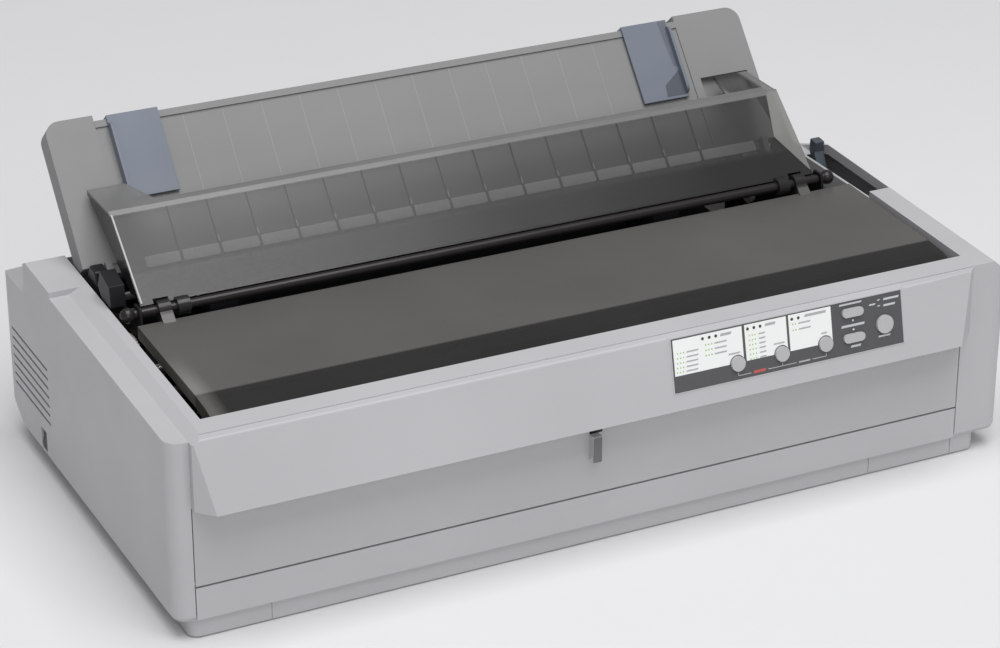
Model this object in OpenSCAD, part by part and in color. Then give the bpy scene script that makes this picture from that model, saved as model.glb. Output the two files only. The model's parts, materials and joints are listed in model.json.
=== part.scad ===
// Wide-carriage dot matrix printer, built as separate pieces in one frame.
// X runs to the right, Y to the rear, Z up. The origin is under the middle of the printer.
// All sizes are in millimetres.

/* [Case] */
// Width of the case
case_w = 639; // [610:1:680]
// Depth of the case from the fascia to the rear wall
case_d = 361; // [350:1:400]
// Height of the rim at the front of the top opening
rim_h = 151; // [146:1:165]
// Height of the recessed plinth
plinth_h = 18; // [15:1:20]
// Height of the seam under the front door
seam_h = 39.7; // [36:0.1:44]
// Height of the underside of the fascia
fascia_h = 98.3; // [92:0.1:102]
// How far the fascia stands in front of the door
fascia_out = 17; // [12:0.5:20]
// Thickness of the plastic shells
wall = 3; // [2.5:0.1:3.5]
// Width of the rim left of the top opening
left_rim_w = 29.5; // [27:0.5:31]
// Width of the rim right of the top opening
right_rim_w = 31.5; // [28:0.5:34]
// Width of the front pillar left of the door
left_pillar_w = 14.1; // [12:0.1:16]
// Width of the front pillar right of the door
right_pillar_w = 38.8; // [34:0.1:42]
// Radius of the rubber feet
foot_r = 9; // [7:0.5:11]

/* [Covers and guides] */
// Radius of the cover rod
cover_rod_r = 3.5; // [3:0.1:4]
// Thickness of the smoked covers
cover_t = 2.6; // [2:0.1:3]
// Lean of the rear smoked cover from upright
rear_cover_lean = 50.2; // [48:0.1:52]
// Length of the rear smoked cover's front face
rear_cover_len = 79; // [74:0.5:82]
// Lean of the paper guide from upright
guide_lean = 40.4; // [39:0.1:42]
// Height of the paper guide along its own face
guide_len = 122; // [112:0.5:128]
// Width of each edge guide
edge_guide_w = 38.5; // [32:0.5:42]

/* [Control panel] */
// Width of the control panel
panel_w = 182.5; // [179:0.5:190]
// Height of the control panel along the fascia
panel_len = 37.5; // [36:0.5:38]
// Radius of the small round buttons
button_r = 5.4; // [4.6:0.1:5.8]
// Radius of the pause button
pause_r = 6.6; // [5.8:0.1:7]
// Length of the pill buttons
pill_w = 17; // [14:0.5:18]
// Height of the pill buttons
pill_h = 6.4; // [5:0.1:7]
// Travel of the buttons
button_travel = 1; // [0.6:0.1:1.2]

/* [Mechanism] */
// Radius of the rubber platen
platen_r = 17; // [15.5:0.5:17.5]
// Half length of the rubber platen
platen_half = 222; // [205:1:222]
// Radius of the platen shaft
shaft_r = 4; // [3.5:0.1:4.5]
// Radius of the platen knob
knob_r = 16; // [13:0.5:17]
// Gear module
gear_mod = 1; // [0.9:0.05:1]
// Width of the gears
gear_w = 5; // [4:0.5:5.5]
// Radius of the carriage guide rod
guide_rod_r = 5; // [4:0.5:6]
// Half width of the carriage
carriage_half = 28; // [24:1:32]
// Radius of the motors
motor_r = 21; // [17:0.5:21]
// Width of each tractor unit
tractor_w = 22; // [20:1:26]
// Distance of each tractor from the middle of the platen at rest
tractor_x = 180; // [150:1:195]

/* [Hidden] */
$fn = 48;

// Clearances
run_gap = 0.05;
slide_gap = 0.3;
seam_gap = 0.7;
seat_gap = 0.1;
eps = 0.01;

// Case, worked out from the driving sizes
port_out = 4;
half_w = case_w / 2;
front_y = -(case_d + port_out) / 2;
rear_y = front_y + case_d;
side_y = front_y + fascia_out;
rim_slope = 0.03;
band_d = 23.5;
fascia_lean_d = 11.5;
crease_y = front_y + fascia_lean_d;
crease_h = rim_h - 1.8;
fascia_lean = atan(fascia_lean_d / (crease_h - fascia_h));
open_front_y = crease_y + band_d;
apex_y = rear_y - 62;
rear_top_h = rim_h - 24.5;
open_rear_y = rear_y - 28;
open_l = -half_w + left_rim_w;
open_r = half_w - right_rim_w;
notch_y = open_front_y + 121;
notch_w = 17;
notch_d = 8;
strip_w = 14.5;
riser_w = 8;
strip_drop = 4.2;
strip_end_y = open_front_y + 212;
top_t = 7.6;
fall_y = rear_y - 118.5;
fall_slope = 0.36;
edge_w = 14;
edge_drop = 13;
front_corner_r = 11;
rear_corner_r = 14;
heel_h = 20;
heel_d = 31;
door_l = -half_w + left_pillar_w;
door_r = half_w - right_pillar_w;
fascia_l = -half_w + 14.5;
fascia_r = half_w - 31.5;
foot_h = 1.2;
shelf_t = 2.5;
plinth_l = -half_w + 10.5;
plinth_r = half_w - 17.5;
plinth_rear_y = rear_y - heel_d - 0.5;

// Mechanism, placed from the fascia, the rim and the walls
mech_x = -7;
mech_half = half_w - 51.5;
frame_t = 2;
platen_y = front_y + 188.5;
platen_z = rim_h - 39;
rod_y = platen_y - 1.5;
rod_z = rim_h + 7;
pivot_y = platen_y + 62.5;
pivot_z = rim_h - 1;
plate_z = plinth_h + 4;
plate_t = 1.5;
deck_z = plate_z + plate_t;
rail_y = platen_y - 48;
rail_z = platen_z - 24;
flat_rail_y = rail_y - 38;
nose_y = platen_y - platen_r - 2.4;
ribbon_z = platen_z - 4;
ribbon_h = 9;

// Gear train on the left: platen, idler and tractor shaft lie on one level line
platen_teeth = 56;
idler_teeth = 52;
tractor_teeth = 28;
pinion_teeth = 14;
platen_gear_r = gear_mod * platen_teeth / 2;
idler_gear_r = gear_mod * idler_teeth / 2;
tractor_gear_r = gear_mod * tractor_teeth / 2;
pinion_r = gear_mod * pinion_teeth / 2;
idler_y = platen_y + platen_gear_r + idler_gear_r;
drive_y = idler_y + idler_gear_r + tractor_gear_r;
drive_z = platen_z;
pinion_angle = 40 * 360 / platen_teeth;
motor_y = platen_y + (platen_gear_r + pinion_r) * cos(pinion_angle);
motor_z = platen_z + (platen_gear_r + pinion_r) * sin(pinion_angle);
frame_out = mech_half + frame_t;
gear_x = mech_x - frame_out - 2 - gear_w;
stud_r = 3;
support_y = drive_y + 28;
support_r = 4;

// Belt drive of the carriage
pulley_r = 6.5;
belt_t = 1.5;
belt_w = 6;
belt_y = rail_y - 18;
belt_z = rail_z - 14;
ledge_z = belt_z - 7;
ledge_t = 2;
pulley_x = mech_half - 32;

// Small round shafts, pins and bosses
boss_in = 18;
pin_r = 1.5;
guide_pin_r = 3;

// A block between two corners
module block(low, high) {
    translate(low) cube(high - low);
}

// A section drawn as (y, z), run from x0 to x1
module along_x(x0, x1) {
    translate([x0, 0, 0]) rotate([90, 0, 90]) linear_extrude(x1 - x0) children();
}

// A section drawn as (x, z), run from y0 to y1
module along_y(y0, y1) {
    translate([0, y1, 0]) rotate([90, 0, 0]) linear_extrude(y1 - y0) children();
}

// A round bar along X
module bar_x(x0, x1, y, z, r) {
    translate([x0, y, z]) rotate([0, 90, 0]) cylinder(h = x1 - x0, r = r);
}

// A round bar along Y
module bar_y(y0, y1, x, z, r) {
    translate([x, y0, z]) rotate([-90, 0, 0]) cylinder(h = y1 - y0, r = r);
}

// A rectangle from (x0, y0) to (x1, y1) with round corners, rf at the front and rr at the rear
module round_plan(x0, y0, x1, y1, rf, rr) {
    translate([x0, y0 + rf]) square([x1 - x0, y1 - y0 - rf - rr]);
    translate([x0 + rf, y0]) square([x1 - x0 - 2 * rf, rf + 1]);
    translate([x0 + rr, y1 - rr - 1]) square([x1 - x0 - 2 * rr, rr + 1]);
    for (x = [x0 + rf, x1 - rf]) translate([x, y0 + rf]) circle(rf);
    for (x = [x0 + rr, x1 - rr]) translate([x, y1 - rr]) circle(rr);
}

// Height of the rim at depth y
function rim_at(y) = rim_h + rim_slope * (y - open_front_y);

// The fascia's own frame: x along it, z up its face, y into it
module on_fascia() {
    translate([0, front_y, fascia_h]) rotate([-fascia_lean, 0, 0]) children();
}

// The paper guide's own frame: z up its face, y to its back
module on_guide() {
    translate([0, pivot_y, pivot_z]) rotate([-guide_lean, 0, 0]) children();
}

// The rear cover's own frame: z up its front face, y to its back
module on_rear_cover() {
    translate([0, rod_y, rod_z]) rotate([-rear_cover_lean, 0, 0]) children();
}

// ---------- Case ----------

// Side outline of the case, drawn in by t on every side but the bottom
module case_section(t, top) {
    polygon([
        [side_y + t, plinth_h - 20 * sign(t)],
        [side_y + t, rim_at(side_y) - top],
        [apex_y, rim_at(apex_y) - top],
        [rear_y - t, rear_top_h - top],
        [rear_y - t, plinth_h + heel_h + t / 2],
        [rear_y - heel_d - t / 2, plinth_h - sign(t)],
        [rear_y - heel_d - t / 2, plinth_h - 20 * sign(t)]]);
}

// Outer body of the case without the fascia
module case_body(t, top) {
    difference() {
        intersection() {
            along_x(-half_w + t, half_w - t) case_section(t, top);
            translate([0, 0, -5]) linear_extrude(rim_h + 60)
                round_plan(-half_w + t, side_y + t, half_w - t, rear_y - t,
                    front_corner_r - t, rear_corner_r - t);
        }
        rear_edge_cut(t * sqrt(2));
        right_cuts(t, top);
    }
}

// The fascia with its blended ends, drawn in by t
module fascia_body(t) {
    intersection() {
        along_x(fascia_l, fascia_r) polygon([
            [side_y + wall + 2, fascia_h + t],
            [front_y + t * tan(fascia_lean) + t / cos(fascia_lean), fascia_h + t],
            [crease_y - t * tan(fascia_lean) + t / cos(fascia_lean), crease_h - t],
            [open_front_y, rim_h - t],
            [open_front_y, fascia_h + t + 8]]);
        translate([0, 0, fascia_h - 5]) linear_extrude(80) polygon([
            [fascia_l + t, side_y + 40],
            [fascia_l + t, front_y + 12],
            [fascia_l + 12 + t / 2, front_y - 1],
            [fascia_r - 19 - t / 2, front_y - 1],
            [fascia_r - t, side_y + 0.5],
            [fascia_r - t, side_y + 40]]);
    }
}

// Cut that leaves the lower strip along the left edge
module strip_cut() {
    x1 = -half_w + strip_w;
    translate([0, open_front_y, rim_h]) rotate([atan(rim_slope), 0, 0])
        along_y(-40, strip_end_y - open_front_y) polygon([
            [-half_w - 1, -strip_drop],
            [x1, -strip_drop],
            [x1 + riser_w, 0.01],
            [x1 + riser_w, 12],
            [-half_w - 1, 12]]);
}

// Chamfer that takes the left top edge down behind the apex, moved down by t
module rear_edge_cut(t) {
    along_y(apex_y + 6 - t / 2, rear_y + 1) polygon([
        [-half_w - 1, rear_top_h + 4 - t],
        [-half_w - 1, rim_h + 40],
        [19 - half_w, rim_h + 40],
        [19 - half_w, rear_top_h + 24 - t]]);
}

// Chamfer along the right top edge, moved in by t, and the fall behind the lever, moved down by top
module right_cuts(t, top) {
    translate([0, open_front_y, rim_h - 1.4 * t]) rotate([atan(rim_slope), 0, 0])
        along_y(-60, case_d) polygon([
            [half_w - edge_w, 0],
            [half_w + 1, -edge_drop * (1 + 1 / edge_w)],
            [half_w + 1, 30],
            [half_w - edge_w, 30]]);
    translate([0, fall_y, rim_at(fall_y) - top]) rotate([-atan(fall_slope), 0, 0])
        along_y(0, case_d) polygon([
            [open_r - t, 0],
            [half_w - 8, 0],
            [half_w + 1, -4.5],
            [half_w + 1, 70],
            [open_r - t - 12, 70],
            [open_r - t - 12, 24]]);
}

// Plan of the top opening, grown by g
module opening_plan(g) {
    translate([open_l - g, open_front_y - g])
        square([open_r - open_l + 2 * g, open_rear_y - open_front_y + 2 * g]);
}

vent_count = 7;
vent_pitch = 7.2;
vent_h = 2.4;
vent_z = 46;
vent_y = rear_y - 98;
vent_len = 80;
rear_vent_count = 9;
rear_vent_z = 58;
rear_vent_x = 24 - half_w;

module vents() {
    for (i = [0:vent_count - 1])
        block([-half_w - 1, vent_y, vent_z + i * vent_pitch],
            [-half_w + wall + 1, vent_y + vent_len, vent_z + i * vent_pitch + vent_h]);
    for (i = [0:rear_vent_count - 1])
        block([rear_vent_x + i * 9, rear_y - wall - 1, rear_vent_z],
            [rear_vent_x + 3 + i * 9, rear_y + 1, rear_vent_z + 24]);
}

// Places on the control panel, in the fascia's frame
panel_l = 39.5;
panel_lo = 12.8;
panel_t = 1.2;
panel_r = panel_l + panel_w;
button_z = 24;
button_x0 = panel_l + 49.5;
button_x2 = panel_r - 63;
button_x1 = (button_x0 + button_x2) / 2;
button_xs = [button_x0, button_x1, button_x2];
pill_x = panel_r - 40;
pill_zs = [24.2, 42.4];
pause_x = panel_r - 14.7;
pause_z = 29;
lamp_r = 1.1;
lamp_zs = [30, 36.5];
lamp_x = pill_x;
row_lamp_z = 46.6;
row_lamp_xs = [for (p = [[button_x0, 25.5], [button_x0, 20.3], [button_x0, 15.2], [button_x1, 25.3],
    [button_x1, 20.3], [button_x1, 15.4], [button_x2, 25.2], [button_x2, 20]]) p[0] - p[1]];
button_gap = 0.25;
flange_t = 1.2;
switch_y = wall + flange_t + slide_gap + 2.6;
board_y = switch_y + 1.4;

// A round button's hole or body along the fascia's y
module round_key(x, z, r, y0, y1) {
    translate([x, y0, z]) rotate([-90, 0, 0]) cylinder(h = y1 - y0, r = r);
}

// A pill button's hole or body along the fascia's y
module pill_key(x, z, w, h, y0, y1) {
    d = (w - h) / 2;
    for (s = [-1, 1]) round_key(x + s * d, z, h / 2, y0, y1);
    block([x - d, y0, z - h / 2], [x + d, y1, z + h / 2]);
}

module button_holes(y0, y1) {
    for (x = button_xs) round_key(x, button_z, button_r + button_gap, y0, y1);
    round_key(pause_x, pause_z, pause_r + button_gap, y0, y1);
    for (z = pill_zs)
        pill_key(pill_x, z, pill_w + 2 * button_gap, pill_h + 2 * button_gap, y0, y1);
}

module lamp_holes(r, y0, y1) {
    for (z = lamp_zs) round_key(lamp_x, z, r, y0, y1);
    for (x = row_lamp_xs) round_key(x, row_lamp_z, r, y0, y1);
}

// Rear wall cut-outs
board_z = deck_z + 14.5;
board_t = 1.6;
port_z = board_z + board_t;
parallel_x = -120;
parallel_w = 66;
parallel_h = 13;
usb_x = -62;
usb_w = 12;
usb_h = 11;
slot_l = -20;
slot_w = 96;
slot_z = port_z - 2;
slot_h = 36;
inlet_x = half_w - 90;
inlet_z = port_z + 24;
inlet_w = 27;
inlet_h = 19.5;
flange_w = 50;
flange_h = 24;
switch_y0 = open_front_y + 240;
switch_z = plinth_h + 9.5;
switch_w = 12;
rocker_r = 5.6;

port_panel_l = parallel_x - parallel_w / 2 - 6;
port_panel_r = inlet_x + flange_w / 2 + 5;
port_panel_lo = plinth_h + heel_h;
port_panel_hi = slot_z + slot_h + 6;
panel_gap = 0.2;

// Cut-outs for the ports and the inlet
module port_cutouts() {
    y0 = rear_y - wall - 1;
    y1 = rear_y + 1;
    block([parallel_x - parallel_w / 2 - 1, y0, port_panel_lo - 1],
        [parallel_x + parallel_w / 2 + 1, y1, port_z + parallel_h + 1]);
    block([usb_x - usb_w / 2 - 1, y0, port_panel_lo - 1],
        [usb_x + usb_w / 2 + 1, y1, port_z + usb_h + 1]);
    block([inlet_x - inlet_w / 2 - 0.2, y0, inlet_z - inlet_h / 2 - 0.2],
        [inlet_x + inlet_w / 2 + 0.2, y1, inlet_z + inlet_h / 2 + 0.2]);
}

// Steel panel in the rear wall, with the cover plate of the empty interface slot
module port_panel() color([0.7, 0.71, 0.72]) {
    difference() {
        block([port_panel_l + panel_gap, rear_y - wall, port_panel_lo + panel_gap],
            [port_panel_r - panel_gap, rear_y, port_panel_hi - panel_gap]);
        port_cutouts();
    }
    block([slot_l, rear_y - eps, slot_z + 2], [slot_l + slot_w, rear_y + 1.2, slot_z + slot_h]);
    for (x = [slot_l + 5, slot_l + slot_w - 5])
        bar_y(rear_y + 1, rear_y + 2.6, x, slot_z + slot_h / 2, 3);
}

chute_l = mech_x - mech_half + 16;
chute_r = mech_x + mech_half - 16;
chute_y = platen_y + 60;
chute_h = platen_z - 29;
chute_bend_y = rear_y - 36.5;
hinge_y = side_y + 2.2;
hinge_z = seam_h + 2.7;
knob_hole_r = knob_r + 2.5;

module upper_case() color([0.62, 0.62, 0.63]) {
    difference() {
        union() {
            difference() {
                union() {
                    case_body(0, 0);
                    fascia_body(0);
                }
                difference() {
                    case_body(wall, top_t);
                    // Returns behind the two front pillars
                    block([door_l - wall, side_y, -1], [door_l, side_y + 16, fascia_h + wall]);
                    block([door_r, side_y, -1], [door_r + wall, side_y + 16, fascia_h + wall]);
                    block([door_l - wall, side_y, fascia_h],
                        [door_r + wall, side_y + 16, fascia_h + wall]);
                }
                fascia_body(wall);
                strip_cut();
                translate([0, 0, rim_h - 40]) linear_extrude(80) opening_plan(0);
                block([open_r - 1, notch_y, rim_h - notch_d], [open_r + notch_w, apex_y, rim_h + 40]);
            }
            // Lip that hangs down round the opening
            difference() {
                intersection() {
                    along_x(-half_w, half_w) case_section(0, 0);
                    translate([0, 0, rim_h - 16]) linear_extrude(60) difference() {
                        opening_plan(2.2);
                        opening_plan(0);
                    }
                    block([-half_w, open_front_y - 3, 0], [open_r + 2.2, open_rear_y + 3, rim_h - 2]);
                }
                right_cuts(0, 0);
            }
            // Ears that carry the power switch
            for (y = [switch_y0 - 3.5, switch_y0 + switch_w + 0.5])
                block([-half_w + wall - eps, y, switch_z - 3], [-half_w + wall + 5, y + 3, switch_z + 3]);
            // Posts that carry the switch board
            on_fascia() for (x = [panel_l + 6, panel_r - 6], z = [20, 40])
                round_key(x, z, 2.5, wall - 0.5, board_y - eps);
        }
        // Doorway under the fascia
        block([door_l, side_y - 1, -1], [door_r, side_y + wall + 1, fascia_h]);
        // Door hinge bores
        bar_x(door_l - wall - 1, door_l + 1, hinge_y, hinge_z, pin_r + run_gap);
        bar_x(door_r - 1, door_r + wall + 1, hinge_y, hinge_z, pin_r + run_gap);
        vents();
        // Opening for the port panel
        block([port_panel_l, rear_y - wall - 1, port_panel_lo], [port_panel_r, rear_y + 1, port_panel_hi]);
        on_fascia() {
            block([panel_l - 0.2, -1, panel_lo - 0.2],
                [panel_r + 0.2, panel_t, panel_lo + panel_len + 0.2]);
            button_holes(-1, wall + 1);
            lamp_holes(lamp_r + 0.1, -1, wall + 1);
        }
        // Slot for the release lever
        block([lever_x - lever_w / 2 - 2, lever_y - 16, rim_h - 30],
            [lever_x + lever_w / 2 + 1, lever_y + 22, rim_h + 9]);
        // Hole for the platen knob
        bar_x(half_w - wall - 1, half_w + 1, platen_y, platen_z, knob_hole_r);
        // Bore and window for the power switch
        bar_y(switch_y0 - 4, switch_y0 + switch_w + 4, -half_w + wall + 2.4, switch_z, 1.2 + run_gap);
        block([-half_w - 1, switch_y0, switch_z - switch_w / 2 - 2.2],
            [-half_w + wall + 1, switch_y0 + switch_w, switch_z + switch_w / 2 + 2.2]);
    }
}

// Chute that leads fan-fold paper in from the rear, fixed to the rear wall
module paper_chute() color([0.3, 0.3, 0.31]) {
    y1 = rear_y - wall - seat_gap;
    along_x(chute_l, chute_r) polygon([
        [y1, chute_h + 22],
        [y1, chute_h + 10],
        [chute_bend_y, chute_h],
        [chute_y, chute_h],
        [chute_y, chute_h + 2.5],
        [chute_bend_y - 1, chute_h + 2.5],
        [y1 - 2.5, chute_h + 12.5],
        [y1 - 2.5, chute_h + 22]]);
}

module lower_case() color([0.6, 0.6, 0.6]) {
    difference() {
        union() {
            // Plinth
            translate([0, 0, foot_h]) linear_extrude(plinth_h - foot_h)
                round_plan(plinth_l, side_y + 3, plinth_r, plinth_rear_y, 8, 8);
            // Shelf under the upper case
            translate([0, 0, plinth_h - shelf_t]) linear_extrude(shelf_t)
                round_plan(-half_w + 1.5, side_y + 1.5, half_w - 1.5, plinth_rear_y, 9, 9);
            // Panel under the door
            block([door_l + seam_gap, side_y, plinth_h - shelf_t],
                [door_r - seam_gap, side_y + wall, seam_h - seam_gap]);
        }
        // Hollow of the tray
        translate([0, 0, foot_h + wall]) linear_extrude(plinth_h)
            round_plan(plinth_l + wall, side_y + 3 + wall, plinth_r - wall,
                plinth_rear_y - wall, 6, 6);
        // Panel joints on the plinth's front
        for (x = [plinth_l + 57, plinth_r - 92.5, plinth_r - 23])
            block([x, side_y + 2, foot_h - 1], [x + 0.8, side_y + 3.6, plinth_h - shelf_t]);
        foot_wells();
    }
    // Bosses that carry the base plate
    for (p = boss_places) difference() {
        translate([p[0], p[1], foot_h + wall - eps])
            cylinder(h = plate_z - foot_h - wall + eps, r = 6);
        translate([p[0], p[1], plate_z - 12]) cylinder(h = 13, r = 1.6);
    }
}

foot_xs = [plinth_l + 26, plinth_r - 26];
foot_ys = [side_y + 28, plinth_rear_y - 24];
boss_places = [for (x = [mech_x - mech_half + boss_in, mech_x, mech_x + mech_half - boss_in])
    for (y = [side_y + 62, plinth_rear_y - 34]) [x, y]];

module foot_wells() {
    for (x = foot_xs, y = foot_ys)
        translate([x, y, -1]) cylinder(h = 1 + foot_h + 1.2, r = foot_r + seat_gap);
}

module rubber_feet() color([0.1, 0.1, 0.1]) {
    for (x = foot_xs, y = foot_ys)
        translate([x, y, 0]) rotate_extrude() polygon([
            [0, 0], [foot_r - 0.8, 0], [foot_r, 0.8], [foot_r, foot_h + 1.1], [0, foot_h + 1.1]]);
}

// A pan head screw standing on (x, y, z) with its shank down
module screw(x, y, z, r, len) {
    translate([x, y, z]) difference() {
        union() {
            cylinder(h = 1.8, r = 2 * r);
            translate([0, 0, -len]) cylinder(h = len + eps, r = r);
        }
        for (a = [0, 90]) rotate([0, 0, a])
            translate([-r, -0.35, 0.9]) cube([2 * r, 0.7, 2]);
    }
}

module case_screws() color([0.55, 0.56, 0.58]) {
    for (p = boss_places) screw(p[0], p[1], deck_z, 1.5, 8);
}

// ---------- Chassis ----------

frame_front_y = rail_y - 64;
frame_rear_y = support_y + 10;
motor_len = 36;
base_rear_y = plinth_rear_y - 12;
frame_foot_y = rear_y - 40.5;

module base_plate() color([0.72, 0.73, 0.75]) {
    difference() {
        union() {
            block([mech_x - mech_half - 14, side_y + 50, plate_z],
                [mech_x + mech_half + 14, base_rear_y, deck_z]);
            // Posts under the main board
            for (x = [board_l + 8, board_l + board_w - 8], y = [board_front + 6, base_rear_y - 9])
                translate([x, y, deck_z - eps]) cylinder(h = board_z - deck_z + eps, r = 3);
        }
        for (p = boss_places)
            translate([p[0], p[1], plate_z - 1]) cylinder(h = 5, r = 1.5 + seat_gap);
    }
}

// Side view of both side frames
module frame_section() {
    polygon([
        [frame_front_y, deck_z],
        [frame_front_y, platen_z - 2],
        [rail_y - 14, platen_z + 16],
        [rod_y - 8.2, rim_h - 20],
        [rod_y - 7, rod_z - 2],
        [rod_y - 5, rod_z + 5.5],
        [rod_y + 5, rod_z + 5.5],
        [rod_y + 9, rim_h + 1],
        [pivot_y - 12, rim_h + 1],
        [pivot_y - 9, pivot_z + 8],
        [pivot_y + 9, pivot_z + 8],
        [pivot_y + 13, pivot_z - 12],
        [frame_rear_y, platen_z + 16],
        [frame_foot_y, deck_z]]);
}

// A side frame on side s, with its foot, its bores and its bracket for the cartridge
module side_frame(s) {
    xa = mech_x + s * mech_half;
    xb = mech_x + s * frame_out;
    x0 = min(xa, xb);
    x1 = max(xa, xb);
    difference() {
        union() {
            along_x(x0, x1) frame_section();
            block([min(xb, xb - s * 14), frame_front_y, deck_z],
                [max(xb, xb - s * 14), frame_foot_y, deck_z + 2]);
            // Ledge for one end of the belt drive
            block([min(xb, mech_x + s * (pulley_x - motor_r - 3)), belt_y - motor_r - 2, ledge_z - ledge_t],
                [max(xb, mech_x + s * (pulley_x - motor_r - 3)), belt_y + motor_r + 2, ledge_z]);
            // Bracket that carries the ribbon cartridge
            block([min(xa - s * 14, xb), rail_y - 60, platen_z - 11.6],
                [max(xa - s * 14, xb), rail_y - 48, platen_z - 9.6]);
        }
        bar_x(x0 - 1, x1 + 1, platen_y, platen_z, shaft_r + 4 + run_gap);
        bar_x(x0 - 1, x1 + 1, rod_y, rod_z, cover_rod_r + run_gap);
        bar_x(x0 - 1, x1 + 1, pivot_y, pivot_z, guide_pin_r + run_gap);
        bar_x(x0 - 1, x1 + 1, rail_y, rail_z, guide_rod_r + run_gap);
        bar_x(x0 - 1, x1 + 1, drive_y, drive_z, drive_shaft_r + 3 + run_gap);
        bar_x(x0 - 1, x1 + 1, support_y, drive_z, support_r + run_gap);
        if (s < 0) bar_x(x0 - 1, x1 + 1, motor_y, motor_z, pinion_r + gear_mod + 1.5);
        if (s > 0) translate([mech_x + pulley_x, belt_y, ledge_z - ledge_t - 1]) cylinder(h = 4, r = 5);
    }
}

drive_shaft_r = 4.2;
gear_outer_x = gear_x;
thick_y = platen_y + 28;
thick_z = rim_h - 5;
lever_w = 8;
lever_x = open_r + 12;
lever_y = platen_y + 51.5;
lever_pivot_y = platen_y + 44;
lever_pivot_z = platen_z + 6;

module left_frame() color([0.74, 0.75, 0.77]) {
    side_frame(-1);
    xf = mech_x - frame_out;
    // Studs for the idler gear and the thickness lever
    bar_x(gear_x - 1.5, xf + eps, idler_y, platen_z, stud_r);
    bar_x(gear_x - 1, xf + eps, thick_y, thick_z, stud_r);
}

module right_frame() color([0.74, 0.75, 0.77]) {
    side_frame(1);
    // Stud for the release lever
    bar_x(mech_x + frame_out - eps, lever_x + lever_w / 2 + 1, lever_pivot_y, lever_pivot_z, stud_r);
}

// A flanged bush in a side frame, on side s
module bush(s, y, z, r_in, r_out) {
    x0 = s < 0 ? mech_x - frame_out - 1 : mech_x + mech_half - 3;
    x1 = s < 0 ? mech_x - mech_half + 3 : mech_x + frame_out + 1;
    f0 = s < 0 ? mech_x - mech_half + seat_gap : x0;
    difference() {
        union() {
            bar_x(x0, x1, y, z, r_out);
            bar_x(f0, f0 + 3 - seat_gap, y, z, r_out + 2);
        }
        bar_x(x0 - 1, x1 + 1, y, z, r_in + run_gap);
    }
}

module bearings() color([0.85, 0.83, 0.76]) {
    for (s = [-1, 1]) {
        bush(s, platen_y, platen_z, shaft_r, shaft_r + 4);
        bush(s, drive_y, drive_z, drive_shaft_r, drive_shaft_r + 3);
    }
}

module guide_rails() color([0.8, 0.81, 0.83]) {
    bar_x(mech_x - frame_out - 1, mech_x + frame_out + 1, rail_y, rail_z, guide_rod_r);
    x0 = mech_x - mech_half;
    x1 = mech_x + mech_half;
    along_x(x0, x1) polygon([
        [flat_rail_y - 6, rail_z - 16],
        [flat_rail_y - 4, rail_z - 16],
        [flat_rail_y - 4, rail_z - 6],
        [flat_rail_y + 6, rail_z - 6],
        [flat_rail_y + 6, rail_z - 4],
        [flat_rail_y - 6, rail_z - 4]]);
    // Rail that carries the two tractors
    bar_x(mech_x - frame_out - 1, mech_x + frame_out + 1, support_y, drive_z, support_r);
}

rod_half = mech_half + 8.5;
ball_r = 5.5;

module cover_rod() color([0.09, 0.08, 0.08]) {
    bar_x(mech_x - rod_half, mech_x + rod_half, rod_y, rod_z, cover_rod_r);
    for (s = [-1, 1]) translate([mech_x + s * rod_half, rod_y, rod_z]) sphere(ball_r);
}

module hinge_caps() color([0.13, 0.14, 0.17]) {
    for (s = [-1, 1]) {
        xa = mech_x + s * frame_out;
        x0 = s < 0 ? xa - 10 : xa;
        difference() {
            along_x(x0, x0 + 10) polygon([
                [pivot_y - 10, pivot_z - 8],
                [pivot_y - 12, pivot_z + 5],
                [pivot_y - 8, pivot_z + 18],
                [pivot_y + 3, pivot_z + 19],
                [pivot_y + 8, pivot_z + 11],
                [pivot_y + 10, pivot_z - 8]]);
            bar_x(x0 - 1, x0 + 11, pivot_y, pivot_z, guide_pin_r + run_gap);
        }
    }
}

// ---------- Paper feed ----------

// Spur gear in the (y, z) plane, width w, turned by phase degrees, with a round bore
module gear(x, y, z, teeth, w, bore, phase) {
    r = gear_mod * teeth / 2;
    pitch = PI * gear_mod;
    root = r - 1.2 * gear_mod;
    tip = r + 0.85 * gear_mod;
    difference() {
        translate([0, y, z]) rotate([phase, 0, 0]) along_x(x, x + w) {
            circle(root);
            for (i = [0:teeth - 1]) rotate(i * 360 / teeth) polygon([
                [root - 0.4, -0.29 * pitch],
                [root, -0.29 * pitch],
                [tip, -0.11 * pitch],
                [tip, 0.11 * pitch],
                [root, 0.29 * pitch],
                [root - 0.4, 0.29 * pitch]]);
        }
        bar_x(x - 1, x + w + 1, y, z, bore);
    }
}

// Phase of a gear that meets a tooth of its neighbour, which lies back along angle a
function mesh_phase(a, teeth) = a + 180 + 180 / teeth;

module feed_motor() color([0.3, 0.31, 0.33]) {
    x0 = mech_x - mech_half;
    difference() {
        union() {
            bar_x(x0 + 2, x0 + 29, motor_y, motor_z, motor_r);
            block([x0, motor_y - motor_r - 5, motor_z - 10],
                [x0 + 2.2, motor_y + motor_r + 5, motor_z + 10]);
            block([x0 + 22, motor_y - 8, motor_z - motor_r - 4],
                [x0 + 28, motor_y + 8, motor_z - motor_r + 2]);
        }
        bar_x(x0 - 1, x0 + 20, motor_y, motor_z, 2.5 + run_gap);
    }
}

module feed_pinion() color([0.85, 0.72, 0.35]) {
    gear(gear_x, motor_y, motor_z, pinion_teeth, gear_w, 2.5 + eps, mesh_phase(pinion_angle, pinion_teeth));
    bar_x(gear_x - 1, mech_x - mech_half + 19, motor_y, motor_z, 2.5 + 2 * eps);
}

knob_x1 = half_w - 1;
knob_len = 20;

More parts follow.
